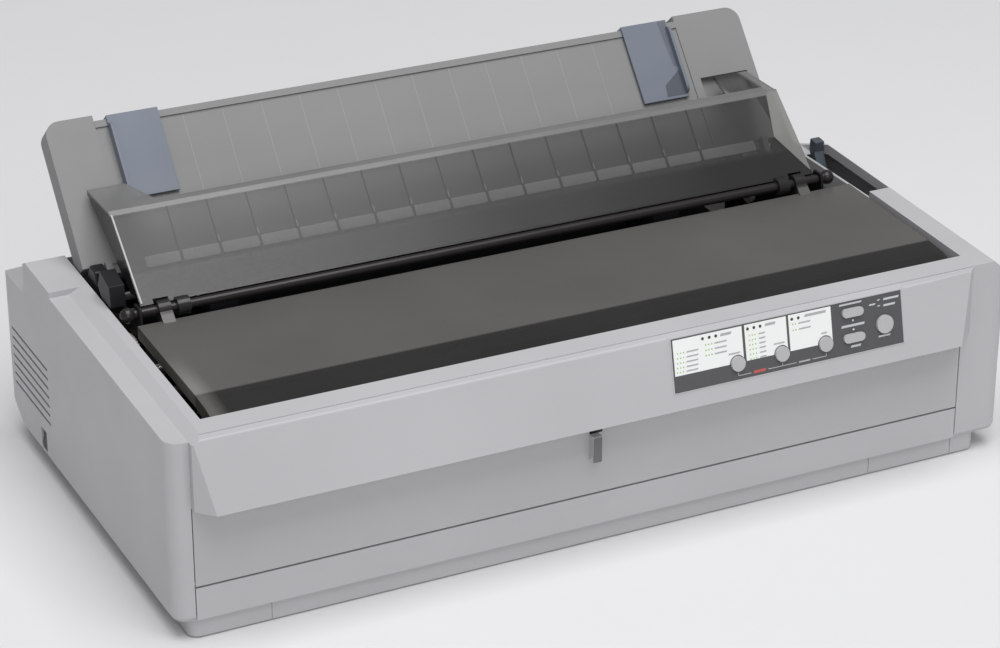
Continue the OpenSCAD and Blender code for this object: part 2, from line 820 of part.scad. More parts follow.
module platen_core() color([0.78, 0.79, 0.8]) {
    bar_x(gear_x - 2, knob_x1 - 4, platen_y, platen_z, shaft_r);
    bar_x(mech_x - platen_half - 3, mech_x + platen_half + 3, platen_y, platen_z, platen_r - 3);
}

module platen_rubber() color([0.08, 0.08, 0.08]) {
    difference() {
        bar_x(mech_x - platen_half, mech_x + platen_half, platen_y, platen_z, platen_r);
        bar_x(mech_x - platen_half - 1, mech_x + platen_half + 1, platen_y, platen_z, platen_r - 3 + eps);
    }
}

module platen_gear() color([0.88, 0.88, 0.85]) {
    gear(gear_x, platen_y, platen_z, platen_teeth, gear_w, shaft_r + eps, 0);
}

module platen_knob() color([0.16, 0.16, 0.17]) {
    difference() {
        union() {
            bar_x(knob_x1 - knob_len, knob_x1, platen_y, platen_z, knob_r - 1.2);
            for (i = [0:17]) translate([0, platen_y, platen_z]) rotate([i * 20, 0, 0])
                bar_x(knob_x1 - knob_len + 2, knob_x1 - 1, knob_r - 1.2, 0, 1.2);
        }
        bar_x(knob_x1 - knob_len - 1, knob_x1 - 4 + eps, platen_y, platen_z, shaft_r + eps);
    }
}

module idler_gear() color([0.88, 0.88, 0.85]) {
    gear(gear_x, idler_y, platen_z, idler_teeth, gear_w, stud_r + run_gap, mesh_phase(0, idler_teeth));
}

square_half = 2.6;

module tractor_shaft() color([0.8, 0.8, 0.82]) {
    x0 = gear_x - 1;
    x1 = mech_x + frame_out + 3;
    block([mech_x - mech_half + 6, drive_y - square_half, drive_z - square_half],
        [mech_x + mech_half - 6, drive_y + square_half, drive_z + square_half]);
    bar_x(x0, mech_x - mech_half + 6.5, drive_y, drive_z, drive_shaft_r);
    bar_x(mech_x + mech_half - 6.5, x1, drive_y, drive_z, drive_shaft_r);
    gear(gear_x, drive_y, drive_z, tractor_teeth, gear_w, drive_shaft_r - eps, 0);
}

sprocket_r = 12;
sprocket_w = 8;
sprocket_pins = 9;
sprocket_pin_r = 1.7;
sprocket_pin_h = 1.8;
tractor_top = drive_z + sprocket_r + 0.1;
tractor_low = drive_z - sprocket_r - 5;
gate_gap = 0.6;

// Middle of the tractor on side s
function tractor_mid(s) = mech_x + s * tractor_x;

module tractor(s) {
    x0 = tractor_mid(s) - tractor_w / 2;
    x1 = x0 + tractor_w;
    difference() {
        union() {
            along_x(x0, x1) {
                translate([drive_y - 16, tractor_low]) square([50, tractor_top - tractor_low]);
                translate([drive_y - 16, drive_z]) circle(10);
            }
            // Lock tab behind the support rail
            block([x0 + 5, drive_y + 33, tractor_low + 4], [x1 - 5, drive_y + 39, tractor_low + 9]);
        }
        // Room for the sprocket
        bar_x(tractor_mid(s) - sprocket_w / 2 - 0.4, tractor_mid(s) + sprocket_w / 2 + 0.4,
            drive_y, drive_z, sprocket_r + sprocket_pin_h + 0.8);
        // Way for the square shaft and its hub
        bar_x(x0 - 1, x1 + 1, drive_y, drive_z, square_half * sqrt(2) + 2.6);
        // Sliding bore on the support rail
        bar_x(x0 - 1, x1 + 1, support_y, drive_z, support_r + run_gap);
        // Ears for the gate's pin
        gate_room(s);
    }
}

// Place of the gate's hinge, on the outer side of the tractor
function gate_x(s) = tractor_mid(s) + s * (tractor_w / 2 - 2);
gate_y0 = drive_y - 14;
gate_y1 = drive_y + 30;
gate_z = tractor_top - 3.4;

module gate_room(s) {
    for (y = [gate_y0, gate_y1 - 8])
        block([min(gate_x(s) - s * 3.2, gate_x(s) + s * 4), y - 0.5, gate_z - 3.2],
            [max(gate_x(s) - s * 3.2, gate_x(s) + s * 4), y + 8.5, tractor_top + 1]);
    bar_y(gate_y0 - 3, gate_y1 + 3, gate_x(s), gate_z, pin_r - 0.3 + run_gap);
}

module gate(s) {
    x_out = gate_x(s) + s * 1.5;
    x_in = tractor_mid(s) - s * (tractor_w / 2 - 0.5);
    z0 = tractor_top + gate_gap;
    difference() {
        union() {
            block([min(x_in, x_out), gate_y0, z0], [max(x_in, x_out), gate_y1, z0 + 2.4]);
            for (y = [gate_y0, gate_y1 - 8]) {
                block([gate_x(s) - 1.8, y, gate_z], [gate_x(s) + 1.8, y + 8, z0 + eps]);
                bar_y(y, y + 8, gate_x(s), gate_z, 1.8);
            }
        }
        // Slot over the pins
        block([tractor_mid(s) - 3, drive_y - 12, z0 - 1], [tractor_mid(s) + 3, drive_y + 12, z0 + 4]);
    }
    bar_y(gate_y0 - 2, gate_y1 + 2, gate_x(s), gate_z, pin_r - 0.3);
}

module sprocket(s) {
    x = tractor_mid(s);
    difference() {
        union() {
            bar_x(x - sprocket_w / 2, x + sprocket_w / 2, drive_y, drive_z, sprocket_r);
            for (i = [0:sprocket_pins - 1]) translate([x, drive_y, drive_z])
                rotate([i * 360 / sprocket_pins, 0, 0]) translate([0, 0, sprocket_r - 1])
                    cylinder(h = 1 + sprocket_pin_h, r1 = sprocket_pin_r, r2 = 1.1);
        }
        block([x - 20, drive_y - square_half - run_gap, drive_z - square_half - run_gap],
            [x + 20, drive_y + square_half + run_gap, drive_z + square_half + run_gap]);
    }
}

module left_tractor() color([0.2, 0.21, 0.22]) tractor(-1);
module right_tractor() color([0.2, 0.21, 0.22]) tractor(1);
module left_gate() color([0.3, 0.31, 0.33]) gate(-1);
module right_gate() color([0.3, 0.31, 0.33]) gate(1);
module left_sprocket() color([0.85, 0.85, 0.82]) sprocket(-1);
module right_sprocket() color([0.85, 0.85, 0.82]) sprocket(1);

// ---------- Carriage ----------

module carriage_motor() color([0.3, 0.31, 0.33]) {
    translate([mech_x + pulley_x, belt_y, ledge_z - ledge_t - motor_len]) difference() {
        union() {
            cylinder(h = motor_len, r = motor_r);
            translate([0, 0, motor_len - eps]) cylinder(h = 1.6, r = 5 - seat_gap);
        }
        translate([0, 0, 8]) cylinder(h = motor_len, r = 2.5 + run_gap);
    }
}

// A flanged pulley with its axis upright
module pulley(x, bore) {
    h = belt_w + 1;
    translate([x, belt_y, belt_z - h / 2]) difference() {
        union() {
            cylinder(h = h, r = pulley_r - 0.1);
            for (z = [-1.2, h]) translate([0, 0, z]) cylinder(h = 1.2, r = pulley_r + 2);
        }
        translate([0, 0, -3]) cylinder(h = h + 6, r = bore);
    }
}

module drive_pulley() color([0.82, 0.7, 0.35]) {
    pulley(mech_x + pulley_x, 2.5 - eps);
    translate([mech_x + pulley_x, belt_y, ledge_z - motor_len + 8]) cylinder(h = motor_len + 6, r = 2.5);
}

module idler_pulley() color([0.86, 0.86, 0.84]) pulley(mech_x - pulley_x, 2 + run_gap);

// Sliding plate with the pin of the idler pulley
module belt_tensioner() color([0.72, 0.73, 0.75]) {
    translate([mech_x - pulley_x, belt_y, ledge_z]) {
        block([-22, -9, 0], [12, 9, 1.6]);
        cylinder(h = 13, r = 2);
        translate([0, 0, 12.2]) cylinder(h = 1.2, r = 3.4);
        for (y = [-6, 6]) translate([-16, y, 1.6 - eps]) cylinder(h = 1.6, r = 2.6);
    }
}

// Plan of the belt loop, grown by g from the pulleys
module belt_loop(g) {
    for (s = [-1, 1]) translate([mech_x + s * pulley_x, belt_y]) circle(pulley_r + g);
    translate([mech_x - pulley_x, belt_y - pulley_r - g])
        square([2 * pulley_x, 2 * (pulley_r + g)]);
}

module drive_belt() color([0.12, 0.12, 0.12]) {
    translate([0, 0, belt_z - belt_w / 2]) linear_extrude(belt_w) difference() {
        belt_loop(belt_t);
        belt_loop(0);
    }
}

clamp_half = 9;

module carriage() color([0.18, 0.18, 0.2]) {
    x0 = mech_x - carriage_half;
    x1 = mech_x + carriage_half;
    run_y = belt_y - pulley_r - belt_t;
    difference() {
        union() {
            block([x0, flat_rail_y + 8, rail_z + guide_rod_r + 2], [x1, rail_y + 12, rail_z + guide_rod_r + 6]);
            along_x(x0, x1) {
                translate([rail_y, rail_z]) circle(guide_rod_r + 3.2);
                translate([rail_y - guide_rod_r - 3.2, rail_z])
                    square([2 * guide_rod_r + 6.4, guide_rod_r + 4]);
            }
            // Foot that glides on the flat rail
            block([x0 + 8, flat_rail_y - 3, rail_z - 4 + slide_gap], [x1 - 8, flat_rail_y + 10, rail_z]);
            block([x0 + 8, flat_rail_y + 8, rail_z - 4 + slide_gap], [x1 - 8, flat_rail_y + 12, rail_z + 10]);
            // Belt clamp
            block([mech_x - clamp_half, run_y - 3, belt_z - belt_w / 2 + 1],
                [mech_x + clamp_half, run_y + belt_t + 3, rail_z + guide_rod_r + 4]);
        }
        bar_x(x0 - 1, x1 + 1, rail_y, rail_z, guide_rod_r + run_gap);
        block([mech_x - clamp_half - 1, run_y - seat_gap, belt_z - belt_w / 2 - seat_gap],
            [mech_x + clamp_half + 1, run_y + belt_t + seat_gap, belt_z + belt_w / 2 + seat_gap]);
    }
}

head_z = rail_z + guide_rod_r + 6;

module print_head() color([0.28, 0.29, 0.3]) {
    // Finned body
    block([mech_x - 20, rail_y - 10, head_z], [mech_x + 20, nose_y - 9, head_z + 8]);
    for (i = [0:6]) block([mech_x - 20, rail_y - 10 + i * 4.4, head_z + 8 - eps],
        [mech_x + 20, rail_y - 8 + i * 4.4, head_z + 20]);
    block([mech_x - 13, rail_y - 6, head_z + 8 - eps], [mech_x + 13, rail_y + 16, head_z + 18]);
    // Nose with the needle guide
    block([mech_x - 9, nose_y - 9 - eps, head_z], [mech_x + 9, nose_y - 4, ribbon_z + ribbon_h]);
    block([mech_x - 4, nose_y - 4 - eps, ribbon_z - 2], [mech_x + 4, nose_y, ribbon_z + ribbon_h - 1]);
}

cart_half = mech_half - 30;
cart_z = platen_z - 8;
cart_h = 18;
cart_y0 = rail_y - 86;
cart_y1 = rail_y - 44;
arm_w = 11;

module ribbon_cartridge() color([0.12, 0.12, 0.13]) {
    difference() {
        union() {
            block([mech_x - cart_half, cart_y0, cart_z], [mech_x + cart_half, cart_y1, cart_z + cart_h]);
            for (s = [-1, 1]) {
                xa = mech_x + s * cart_half;
                xb = xa - s * arm_w;
                block([min(xa, xb), cart_y1 - eps, cart_z + 2], [max(xa, xb), platen_y - 8, cart_z + 15]);
                // Tab that rests on the side frame's bracket
                xc = mech_x + s * (mech_half - 1);
                block([min(xa - s, xc), rail_y - 59, cart_z + 0.2 - 1.8 + 0.3],
                    [max(xa - s, xc), rail_y - 49, cart_z + 6]);
            }
        }
        translate([mech_x - cart_half + 30, (cart_y0 + cart_y1) / 2, cart_z + cart_h - 8])
            cylinder(h = 9, r = 3 + run_gap);
    }
    // Ink ribbon between the arms
    block([mech_x - cart_half + arm_w - eps, platen_y - platen_r - 1.4, ribbon_z - 2],
        [mech_x + cart_half - arm_w + eps, platen_y - platen_r - 1.1, ribbon_z - 2 + ribbon_h]);
}

module ribbon_knob() color([0.2, 0.2, 0.22]) {
    translate([mech_x - cart_half + 30, (cart_y0 + cart_y1) / 2, cart_z + cart_h]) {
        translate([0, 0, -7]) cylinder(h = 7 + slide_gap + eps, r = 3);
        translate([0, 0, slide_gap]) cylinder(h = 5, r = 9);
        translate([-8, -1.2, 5]) cube([16, 2.4, 4]);
    }
}

// ---------- Covers and paper guide ----------

cover_l = -half_w + 39.5;
cover_r = open_r - 4;
cover_rear_y = rod_y - 9;
cover_rear_h = rim_h + 2.2;
cover_crease_y = open_front_y + 35;
cover_crease_h = rim_h - 1;
cover_nose_y = open_front_y + 4;
cover_nose_h = rim_h - 7.5;
sleeve_r = cover_rod_r + 3;
front_lug_x = mech_half - 17;
rear_lug_x = mech_half - 31;
lug_w = 9;

module front_smoke_cover() color([0.2, 0.19, 0.18, 0.75]) {
    t = cover_t;
    along_x(cover_l, cover_r) polygon([
        [cover_rear_y, cover_rear_h],
        [cover_crease_y, cover_crease_h],
        [cover_nose_y + 12, cover_crease_h - 1.6],
        [cover_nose_y + 3, cover_crease_h - 4.2],
        [cover_nose_y, cover_nose_h - 1],
        [cover_nose_y, cover_nose_h - 8],
        [cover_nose_y + t, cover_nose_h - 8],
        [cover_nose_y + t, cover_nose_h - 1.5],
        [cover_nose_y + 4 + t / 2, cover_crease_h - 4.2 - t],
        [cover_nose_y + 12 + t / 2, cover_crease_h - 1.6 - t],
        [cover_crease_y, cover_crease_h - t],
        [cover_rear_y, cover_rear_h - t]]);
    // Ends turned down
    for (x = [cover_l, cover_r - t]) along_x(x, x + t) polygon([
        [cover_rear_y, cover_rear_h - eps],
        [cover_crease_y, cover_crease_h - eps],
        [cover_nose_y + 12, cover_crease_h - 1.6 - eps],
        [cover_nose_y + 3, cover_crease_h - 4.2 - eps],
        [cover_nose_y + eps, cover_nose_h - 1],
        [cover_nose_y + eps, cover_nose_h - 8],
        [cover_crease_y, cover_crease_h - 9],
        [cover_rear_y, cover_rear_h - 9]]);
    // Hinge lugs on the rod
    for (s = [-1, 1]) {
        x = mech_x + s * front_lug_x - lug_w / 2;
        along_x(x, x + lug_w) difference() {
            union() {
                translate([rod_y, rod_z]) circle(sleeve_r);
                polygon([
                    [rod_y, rod_z - sleeve_r],
                    [cover_rear_y - 4, cover_rear_h - 3.2 * t],
                    [cover_rear_y - 4, cover_rear_h - eps],
                    [rod_y - sleeve_r * 0.8, rod_z + 2],
                    [rod_y, rod_z]]);
            }
            translate([rod_y, rod_z]) circle(cover_rod_r + run_gap);
        }
    }
}

rear_cover_half = mech_half - 2;
lip_d = 9;
tab_d = 44;
tab_w = 28;
face_low = cover_rod_r + 0.9;

// Top corner of the rear cover's front face
rear_top_y = rod_y + rear_cover_len * sin(rear_cover_lean);
rear_top_z = rod_z + rear_cover_len * cos(rear_cover_lean);

module rear_smoke_cover() color([0.25, 0.24, 0.24, 0.75]) {
    t = cover_t;
    x0 = mech_x - rear_cover_half;
    x1 = mech_x + rear_cover_half;
    on_rear_cover() difference() {
        block([x0, -t / 2, face_low], [x1, t / 2, rear_cover_len]);
        // Room for the front cover's lugs
        for (s = [-1, 1]) block([mech_x + s * front_lug_x - lug_w / 2 - 1, -t, 0],
            [mech_x + s * front_lug_x + lug_w / 2 + 1, t, sleeve_r + 1.6]);
    }
    // Lip along the top
    block([x0, rear_top_y - t / 2, rear_top_z - t], [x1, rear_top_y + lip_d, rear_top_z]);
    // Tabs and cheeks at both ends
    for (s = [-1, 1]) {
        xa = s < 0 ? x0 : x1;
        xc = s < 0 ? x0 : x1 - t;
        translate([0, 0, rear_top_z - t]) linear_extrude(t) polygon([
            [xa, rear_top_y],
            [xa, rear_top_y + tab_d],
            [xa - s * tab_w, rear_top_y + tab_d],
            [xa - s * (tab_w + 10), rear_top_y + lip_d],
            [xa - s * (tab_w + 10), rear_top_y]]);
        along_x(xc, xc + t) polygon([
            [rod_y + 9, rod_z + 8],
            [rear_top_y, rear_top_z - eps],
            [rear_top_y + tab_d - eps, rear_top_z - eps],
            [rear_top_y + tab_d - eps, rear_top_z - 3],
            [rod_y + 22, rod_z + 5]]);
        x = mech_x + s * rear_lug_x - lug_w / 2;
        difference() {
            union() {
                bar_x(x, x + lug_w, rod_y, rod_z, sleeve_r);
                on_rear_cover() block([x, -t / 2, 0], [x + lug_w, t / 2, face_low + 2]);
            }
            bar_x(x - 1, x + lug_w + 1, rod_y, rod_z, cover_rod_r + run_gap);
        }
    }
}

// Paper guide: wings and panel in its own frame
wing_top = guide_len + 4.5;
wing_low = 17;
wing_d = 18;
left_wing_w = 36.5;
right_wing_w = 56;
guide_l = open_l + 1;
guide_r = open_r - 16;
panel_back = 3;
rail_low = guide_len - 5;
rail_out = 1.4;
rib_count = 15;
rib_pitch = 30;
rib_top = 56;

// A wing from x0 to x1 whose outer top corner, on side s, is round
module wing_plan(x0, x1, s, r, low) {
    xr = s < 0 ? x0 + r : x1 - r;
    translate([x0, low]) square([x1 - x0, wing_top - low - r]);
    translate([s < 0 ? xr : x0, low]) square([x1 - x0 - r, wing_top - low]);
    translate([xr, wing_top - r]) circle(r);
}

module guide_wing(x0, x1, s) {
    difference() {
        translate([0, wing_d, 0]) rotate([90, 0, 0]) linear_extrude(wing_d) wing_plan(x0, x1, s, 11, wing_low);
        translate([0, wing_d + 1, 0]) rotate([90, 0, 0]) linear_extrude(wing_d - wall + 1)
            intersection() {
                wing_plan(x0 + wall, x1 - wall, s, 8, wing_low + wall);
                translate([x0 - 50, wing_low]) square([x1 - x0 + 100, wing_top - wing_low - wall]);
            }
    }
}

module paper_guide() color([0.6, 0.6, 0.61]) {
    on_guide() {
        difference() {
            guide_wing(guide_r - right_wing_w, guide_r, 1);
            // Finger pocket in the right wing
            block([guide_r - right_wing_w + 7, -1, 59], [guide_r - 8, wall + 1, 74]);
        }
        // Bottom of the finger pocket
        block([guide_r - right_wing_w + 5, wall + 4, 57], [guide_r - 6, wall + 6, 76]);
        for (z = [57, 74])
            block([guide_r - right_wing_w + 5, wall - eps, z], [guide_r - 6, wall + 6, z + 2]);
        guide_wing(guide_l, guide_l + left_wing_w, -1);
        // Panel between the wings
        block([guide_l + left_wing_w - eps, 1, -2], [guide_r - right_wing_w + eps, 1 + panel_back, guide_len]);
        block([guide_l + left_wing_w - eps, 1 - rail_out, rail_low], [guide_r - right_wing_w + eps, 1 + eps, guide_len]);
        // Ribs that lead the sheet down to the platen
        for (i = [0:rib_count - 1]) {
            x = mech_x + (i - (rib_count - 1) / 2) * rib_pitch;
            block([x - 0.8, -1.5, -2], [x + 0.8, 1 + eps, rib_top]);
        }
        // Ears and pins that carry the guide in the side frames
        for (s = [-1, 1]) {
            xa = mech_x + s * (mech_half - 1.5);
            xb = xa - s * 4.5;
            difference() {
                union() {
                    bar_x(min(xa, xb), max(xa, xb), 0, 0, 7.5);
                    block([min(xa, xb), -5, 0], [max(xa, xb), 7, wing_low + 1]);
                }
            }
            xp = mech_x + s * (frame_out + 7);
            bar_x(min(xp, xa - s), max(xp, xa - s), 0, 0, guide_pin_r);
        }
        // Foot of the panel that reaches the ears
        block([mech_x - mech_half + 5, 1, wing_low - 7], [mech_x + mech_half - 5, 1 + panel_back, wing_low + 1]);
    }
}

hook_t = 1.8;

// An edge guide that hangs over the top of the panel, with its flange on side s
module edge_guide(x0, s) {
    x1 = x0 + edge_guide_w;
    yf = 1 - rail_out - slide_gap - hook_t;
    yb = 1 + panel_back + slide_gap;
    on_guide() {
        block([x0, yf, 61], [x1, yf + hook_t, guide_len + slide_gap + hook_t]);
        block([x0, yf, guide_len + slide_gap], [x1, yb + hook_t, guide_len + slide_gap + hook_t]);
        block([x0, yb, guide_len - 12], [x1, yb + hook_t, guide_len + slide_gap + eps]);
        xf = s < 0 ? x0 : x1 - 2.2;
        block([xf, yf - 5, 64], [xf + 2.2, yf + eps, guide_len - 4]);
    }
}

left_edge_x = guide_l + left_wing_w + 9;
right_edge_x = guide_r - right_wing_w - 8 - edge_guide_w;

module left_edge_guide() color([0.48, 0.52, 0.58]) edge_guide(left_edge_x, -1);
module right_edge_guide() color([0.48, 0.52, 0.58]) edge_guide(right_edge_x, 1);

// ---------- Front door and controls ----------

tab_x = -15;

module front_door() color([0.64, 0.64, 0.65]) {
    x0 = door_l + seam_gap;
    x1 = door_r - seam_gap;
    block([x0, side_y, seam_h + seam_gap], [x1, side_y + wall, fascia_h - seam_gap]);
    // Stiffening rib along the top and hinge pins at the ends
    block([x0 + 4, side_y + wall - eps, fascia_h - 10], [x1 - 4, side_y + wall + 3, fascia_h - 8]);
    bar_x(door_l - wall + 0.5, x0 + 12, hinge_y, hinge_z, pin_r);
    bar_x(x1 - 12, door_r + wall - 0.5, hinge_y, hinge_z, pin_r);
    for (x = [x0 + 4, x1 - 12]) block([x, side_y + wall - eps, seam_h + seam_gap], [x + 8, hinge_y + 2.2, hinge_z + 3]);
    // Finger tab
    along_x(tab_x - 3.5, tab_x + 3.5) polygon([
        [side_y + eps, fascia_h - 32],
        [side_y - 6, fascia_h - 26],
        [side_y - 6, fascia_h - 12],
        [side_y + eps, fascia_h - 12]]);
}

module control_panel() color([0.35, 0.35, 0.36]) {
    on_fascia() difference() {
        block([panel_l, -0.3, panel_lo], [panel_r, panel_t, panel_lo + panel_len]);
        button_holes(-2, 3);
        lamp_holes(lamp_r + 0.1, -2, 3);
    }
}

module indicator_lamps() color([0.75, 0.85, 0.55]) {
    on_fascia() lamp_holes(lamp_r, -0.6, board_y);
}

// A button: cap, flange behind the fascia and stem down to its switch
module round_button(x, z, r) {
    on_fascia() {
        round_key(x, z, r, -2.2, wall + slide_gap + eps);
        round_key(x, z, r + 1.1, wall + slide_gap, wall + slide_gap + flange_t);
        round_key(x, z, 1.5, wall + slide_gap + flange_t - eps, switch_y - button_travel - 0.1);
    }
}

module pill_button(z) {
    on_fascia() {
        pill_key(pill_x, z, pill_w, pill_h, -2, wall + slide_gap + eps);
        pill_key(pill_x, z, pill_w + 2, pill_h + 2, wall + slide_gap, wall + slide_gap + flange_t);
        round_key(pill_x, z, 1.5, wall + slide_gap + flange_t - eps, switch_y - button_travel - 0.1);
    }
}

module font_button() color([0.66, 0.66, 0.66]) round_button(button_xs[0], button_z, button_r);
module pitch_button() color([0.66, 0.66, 0.66]) round_button(button_xs[1], button_z, button_r);
module tear_off_button() color([0.66, 0.66, 0.66]) round_button(button_xs[2], button_z, button_r);
module load_button() color([0.66, 0.66, 0.66]) pill_button(pill_zs[1]);
module line_feed_button() color([0.66, 0.66, 0.66]) pill_button(pill_zs[0]);
module pause_button() color([0.7, 0.7, 0.7]) round_button(pause_x, pause_z, pause_r);

module switch_board() color([0.12, 0.4, 0.22]) {
    on_fascia() {
        block([panel_l + 3, board_y, 16], [panel_r - 3, board_y + 1.6, 48]);
        for (p = [[button_xs[0], button_z], [button_xs[1], button_z], [button_xs[2], button_z],
            [pill_x, pill_zs[0]], [pill_x, pill_zs[1]], [pause_x, pause_z]])
            block([p[0] - 3, switch_y, p[1] - 3], [p[0] + 3, board_y + eps, p[1] + 3]);
    }
}

lever_top_y = platen_y + 63.5;
lever_top_z = rim_h + 8;

module release_lever() color([0.2, 0.23, 0.28]) {
    x0 = lever_x - lever_w / 2;
    difference() {
        union() {
            bar_x(x0, x0 + lever_w, lever_pivot_y, lever_pivot_z, 7);
            along_x(x0, x0 + lever_w) polygon([
                [lever_pivot_y - 4, lever_pivot_z],
                [lever_top_y - 5, lever_top_z - 8],
                [lever_top_y - 6, lever_top_z],
                [lever_top_y + 2, lever_top_z + 1],
                [lever_top_y + 3, lever_top_z - 8],
                [lever_pivot_y + 5, lever_pivot_z]]);
        }
        bar_x(x0 - 1, x0 + lever_w + 1, lever_pivot_y, lever_pivot_z, stud_r + run_gap);
    }
}

module thickness_lever() color([0.12, 0.13, 0.16]) {
    x0 = open_l + 0.8;
    x1 = mech_x - frame_out - 1;
    difference() {
        union() {
            bar_x(x0, x1, thick_y, thick_z, 6);
            along_x(x0, x1) polygon([
                [thick_y - 5, thick_z],
                [thick_y - 5, thick_z + 9],
                [thick_y - 12, thick_z + 11],
                [thick_y - 10, thick_z + 26],
                [thick_y + 8, thick_z + 31],
                [thick_y + 14, thick_z + 18],
                [thick_y + 5, thick_z + 9],
                [thick_y + 5, thick_z]]);
        }
        bar_x(x0 - 1, mech_x, thick_y, thick_z, stud_r + run_gap);
    }
}

// ---------- Electrics ----------

board_l = -230;
board_w = 290;
board_front = platen_y + 60;
board_rear = rear_y - 13;

module main_board() color([0.1, 0.36, 0.2]) {
    block([board_l, board_front, board_z], [board_l + board_w, board_rear, board_z + board_t]);
    for (i = [0:2]) block([board_l + 30 + i * 70, board_front + 20, board_z + board_t - eps],
        [board_l + 62 + i * 70, board_front + 48, board_z + board_t + 3]);
    for (i = [0:5]) translate([board_l + 24 + i * 14, board_rear - 33.5, board_z + board_t - eps])
        cylinder(h = 11, r = 4);
    // Fixing screws' pads
    for (i = [0:3]) block([board_l + 120 + i * 26, board_front + 8, board_z + board_t - eps],
        [board_l + 138 + i * 26, board_front + 14, board_z + board_t + 8]);
}

psu_w = 150;
psu_l = inlet_x - psu_w;
psu_y0 = platen_y + 60;
psu_y1 = rear_y - 30.5;
psu_h = 46;

module power_supply() color([0.7, 0.71, 0.72]) {
    difference() {
        block([psu_l, psu_y0, deck_z], [psu_l + psu_w, psu_y1, deck_z + psu_h]);
        block([psu_l + 1.5, psu_y0 + 1.5, deck_z + 1.5], [psu_l + psu_w - 1.5, psu_y1 - 1.5, deck_z + psu_h + 4]);
        for (i = [0:8]) block([psu_l + 14 + i * 14, psu_y0 - 1, deck_z + 10],
            [psu_l + 20 + i * 14, psu_y0 + 3, deck_z + psu_h - 10]);
    }
    // Transformer, capacitor and heat sink on the board
    block([psu_l + 12, psu_y0 + 8, deck_z + 1.5 - eps], [psu_l + psu_w - 12, psu_y1 - 8, deck_z + 5]);
    block([psu_l + 22, psu_y0 + 16, deck_z + 5 - eps], [psu_l + 72, psu_y1 - 24, deck_z + psu_h - 6]);
    translate([psu_l + 96, psu_y0 + 28, deck_z + 5 - eps]) cylinder(h = 34, r = 13);
    for (i = [0:4]) block([psu_l + 116 + i * 4, psu_y0 + 14, deck_z + 5 - eps],
        [psu_l + 118 + i * 4, psu_y1 - 20, deck_z + 32]);
}

fan_half = 30;
fan_y = vent_y + 44;
fan_z = vent_z + 22;
fan_t = 15;
fan_x0 = -half_w + wall + 0.1;

module fan_housing() color([0.14, 0.14, 0.15]) {
    difference() {
        union() {
            difference() {
                block([fan_x0, fan_y - fan_half, fan_z - fan_half], [fan_x0 + fan_t, fan_y + fan_half, fan_z + fan_half]);
                bar_x(fan_x0 - 1, fan_x0 + fan_t + 1, fan_y, fan_z, fan_half - 2);
            }
            // Spider that carries the rotor
            bar_x(fan_x0 + fan_t - 3, fan_x0 + fan_t, fan_y, fan_z, 12);
            for (a = [45:90:315]) translate([0, fan_y, fan_z]) rotate([a, 0, 0])
                block([fan_x0 + fan_t - 3, 10, -2], [fan_x0 + fan_t, fan_half + 1, 2]);
        }
        bar_x(fan_x0, fan_x0 + fan_t + 1, fan_y, fan_z, 2 + run_gap);
    }
}

blade_count = 7;

module fan_rotor() color([0.18, 0.18, 0.19]) {
    bar_x(fan_x0 + 2, fan_x0 + fan_t - 3.4, fan_y, fan_z, 12);
    bar_x(fan_x0 + 3, fan_x0 + fan_t - 0.5, fan_y, fan_z, 2);
    for (i = [0:blade_count - 1]) translate([fan_x0 + 6.5, fan_y, fan_z])
        rotate([i * 360 / blade_count, 0, 0]) rotate([0, 0, 35])
            block([-0.7, -5, 10], [0.7, 5, fan_half - 3.5]);
}

module data_ports() color([0.75, 0.76, 0.78]) {
    // Parallel port
    difference() {
        block([parallel_x - parallel_w / 2, rear_y - 16, port_z], [parallel_x + parallel_w / 2, rear_y + port_out, port_z + parallel_h]);
        block([parallel_x - parallel_w / 2 + 4, rear_y - 4, port_z + 2],
            [parallel_x + parallel_w / 2 - 4, rear_y + port_out + 1, port_z + parallel_h - 2]);
    }
    block([parallel_x - 24, rear_y - 4 - eps, port_z + 5], [parallel_x + 24, rear_y, port_z + 8]);
    // Square serial port
    difference() {
        block([usb_x - usb_w / 2, rear_y - 14, port_z], [usb_x + usb_w / 2, rear_y + 0.5, port_z + usb_h]);
        block([usb_x - 4.2, rear_y - 9, port_z + 1.4], [usb_x + 4.2, rear_y + 1, port_z + 9.4]);
    }
    block([usb_x - 2.8, rear_y - 9 - eps, port_z + 3.8], [usb_x + 2.8, rear_y - 5, port_z + 7]);
}

module ac_inlet() color([0.1, 0.1, 0.1]) {
    w = inlet_w / 2;
    h = inlet_h / 2;
    difference() {
        union() {
            block([inlet_x - w, rear_y - 22, inlet_z - h], [inlet_x + w, rear_y + eps, inlet_z + h]);
            block([inlet_x - flange_w / 2, rear_y, inlet_z - flange_h / 2],
                [inlet_x + flange_w / 2, rear_y + 2, inlet_z + flange_h / 2]);
        }
        block([inlet_x - w + 1.5, rear_y - 16, inlet_z - h + 1.5], [inlet_x + w - 1.5, rear_y + 3, inlet_z + h - 1.5]);
        for (s = [-1, 1]) bar_y(rear_y - 1, rear_y + 3, inlet_x + s * 20, inlet_z, 1.6);
    }
    for (x = [-7, 0, 7]) block([inlet_x + x - 1, rear_y - 16 - eps, inlet_z - 2 + (x == 0 ? 2 : -2)],
        [inlet_x + x + 1, rear_y - 7, inlet_z + 2 + (x == 0 ? 2 : -2)]);
}

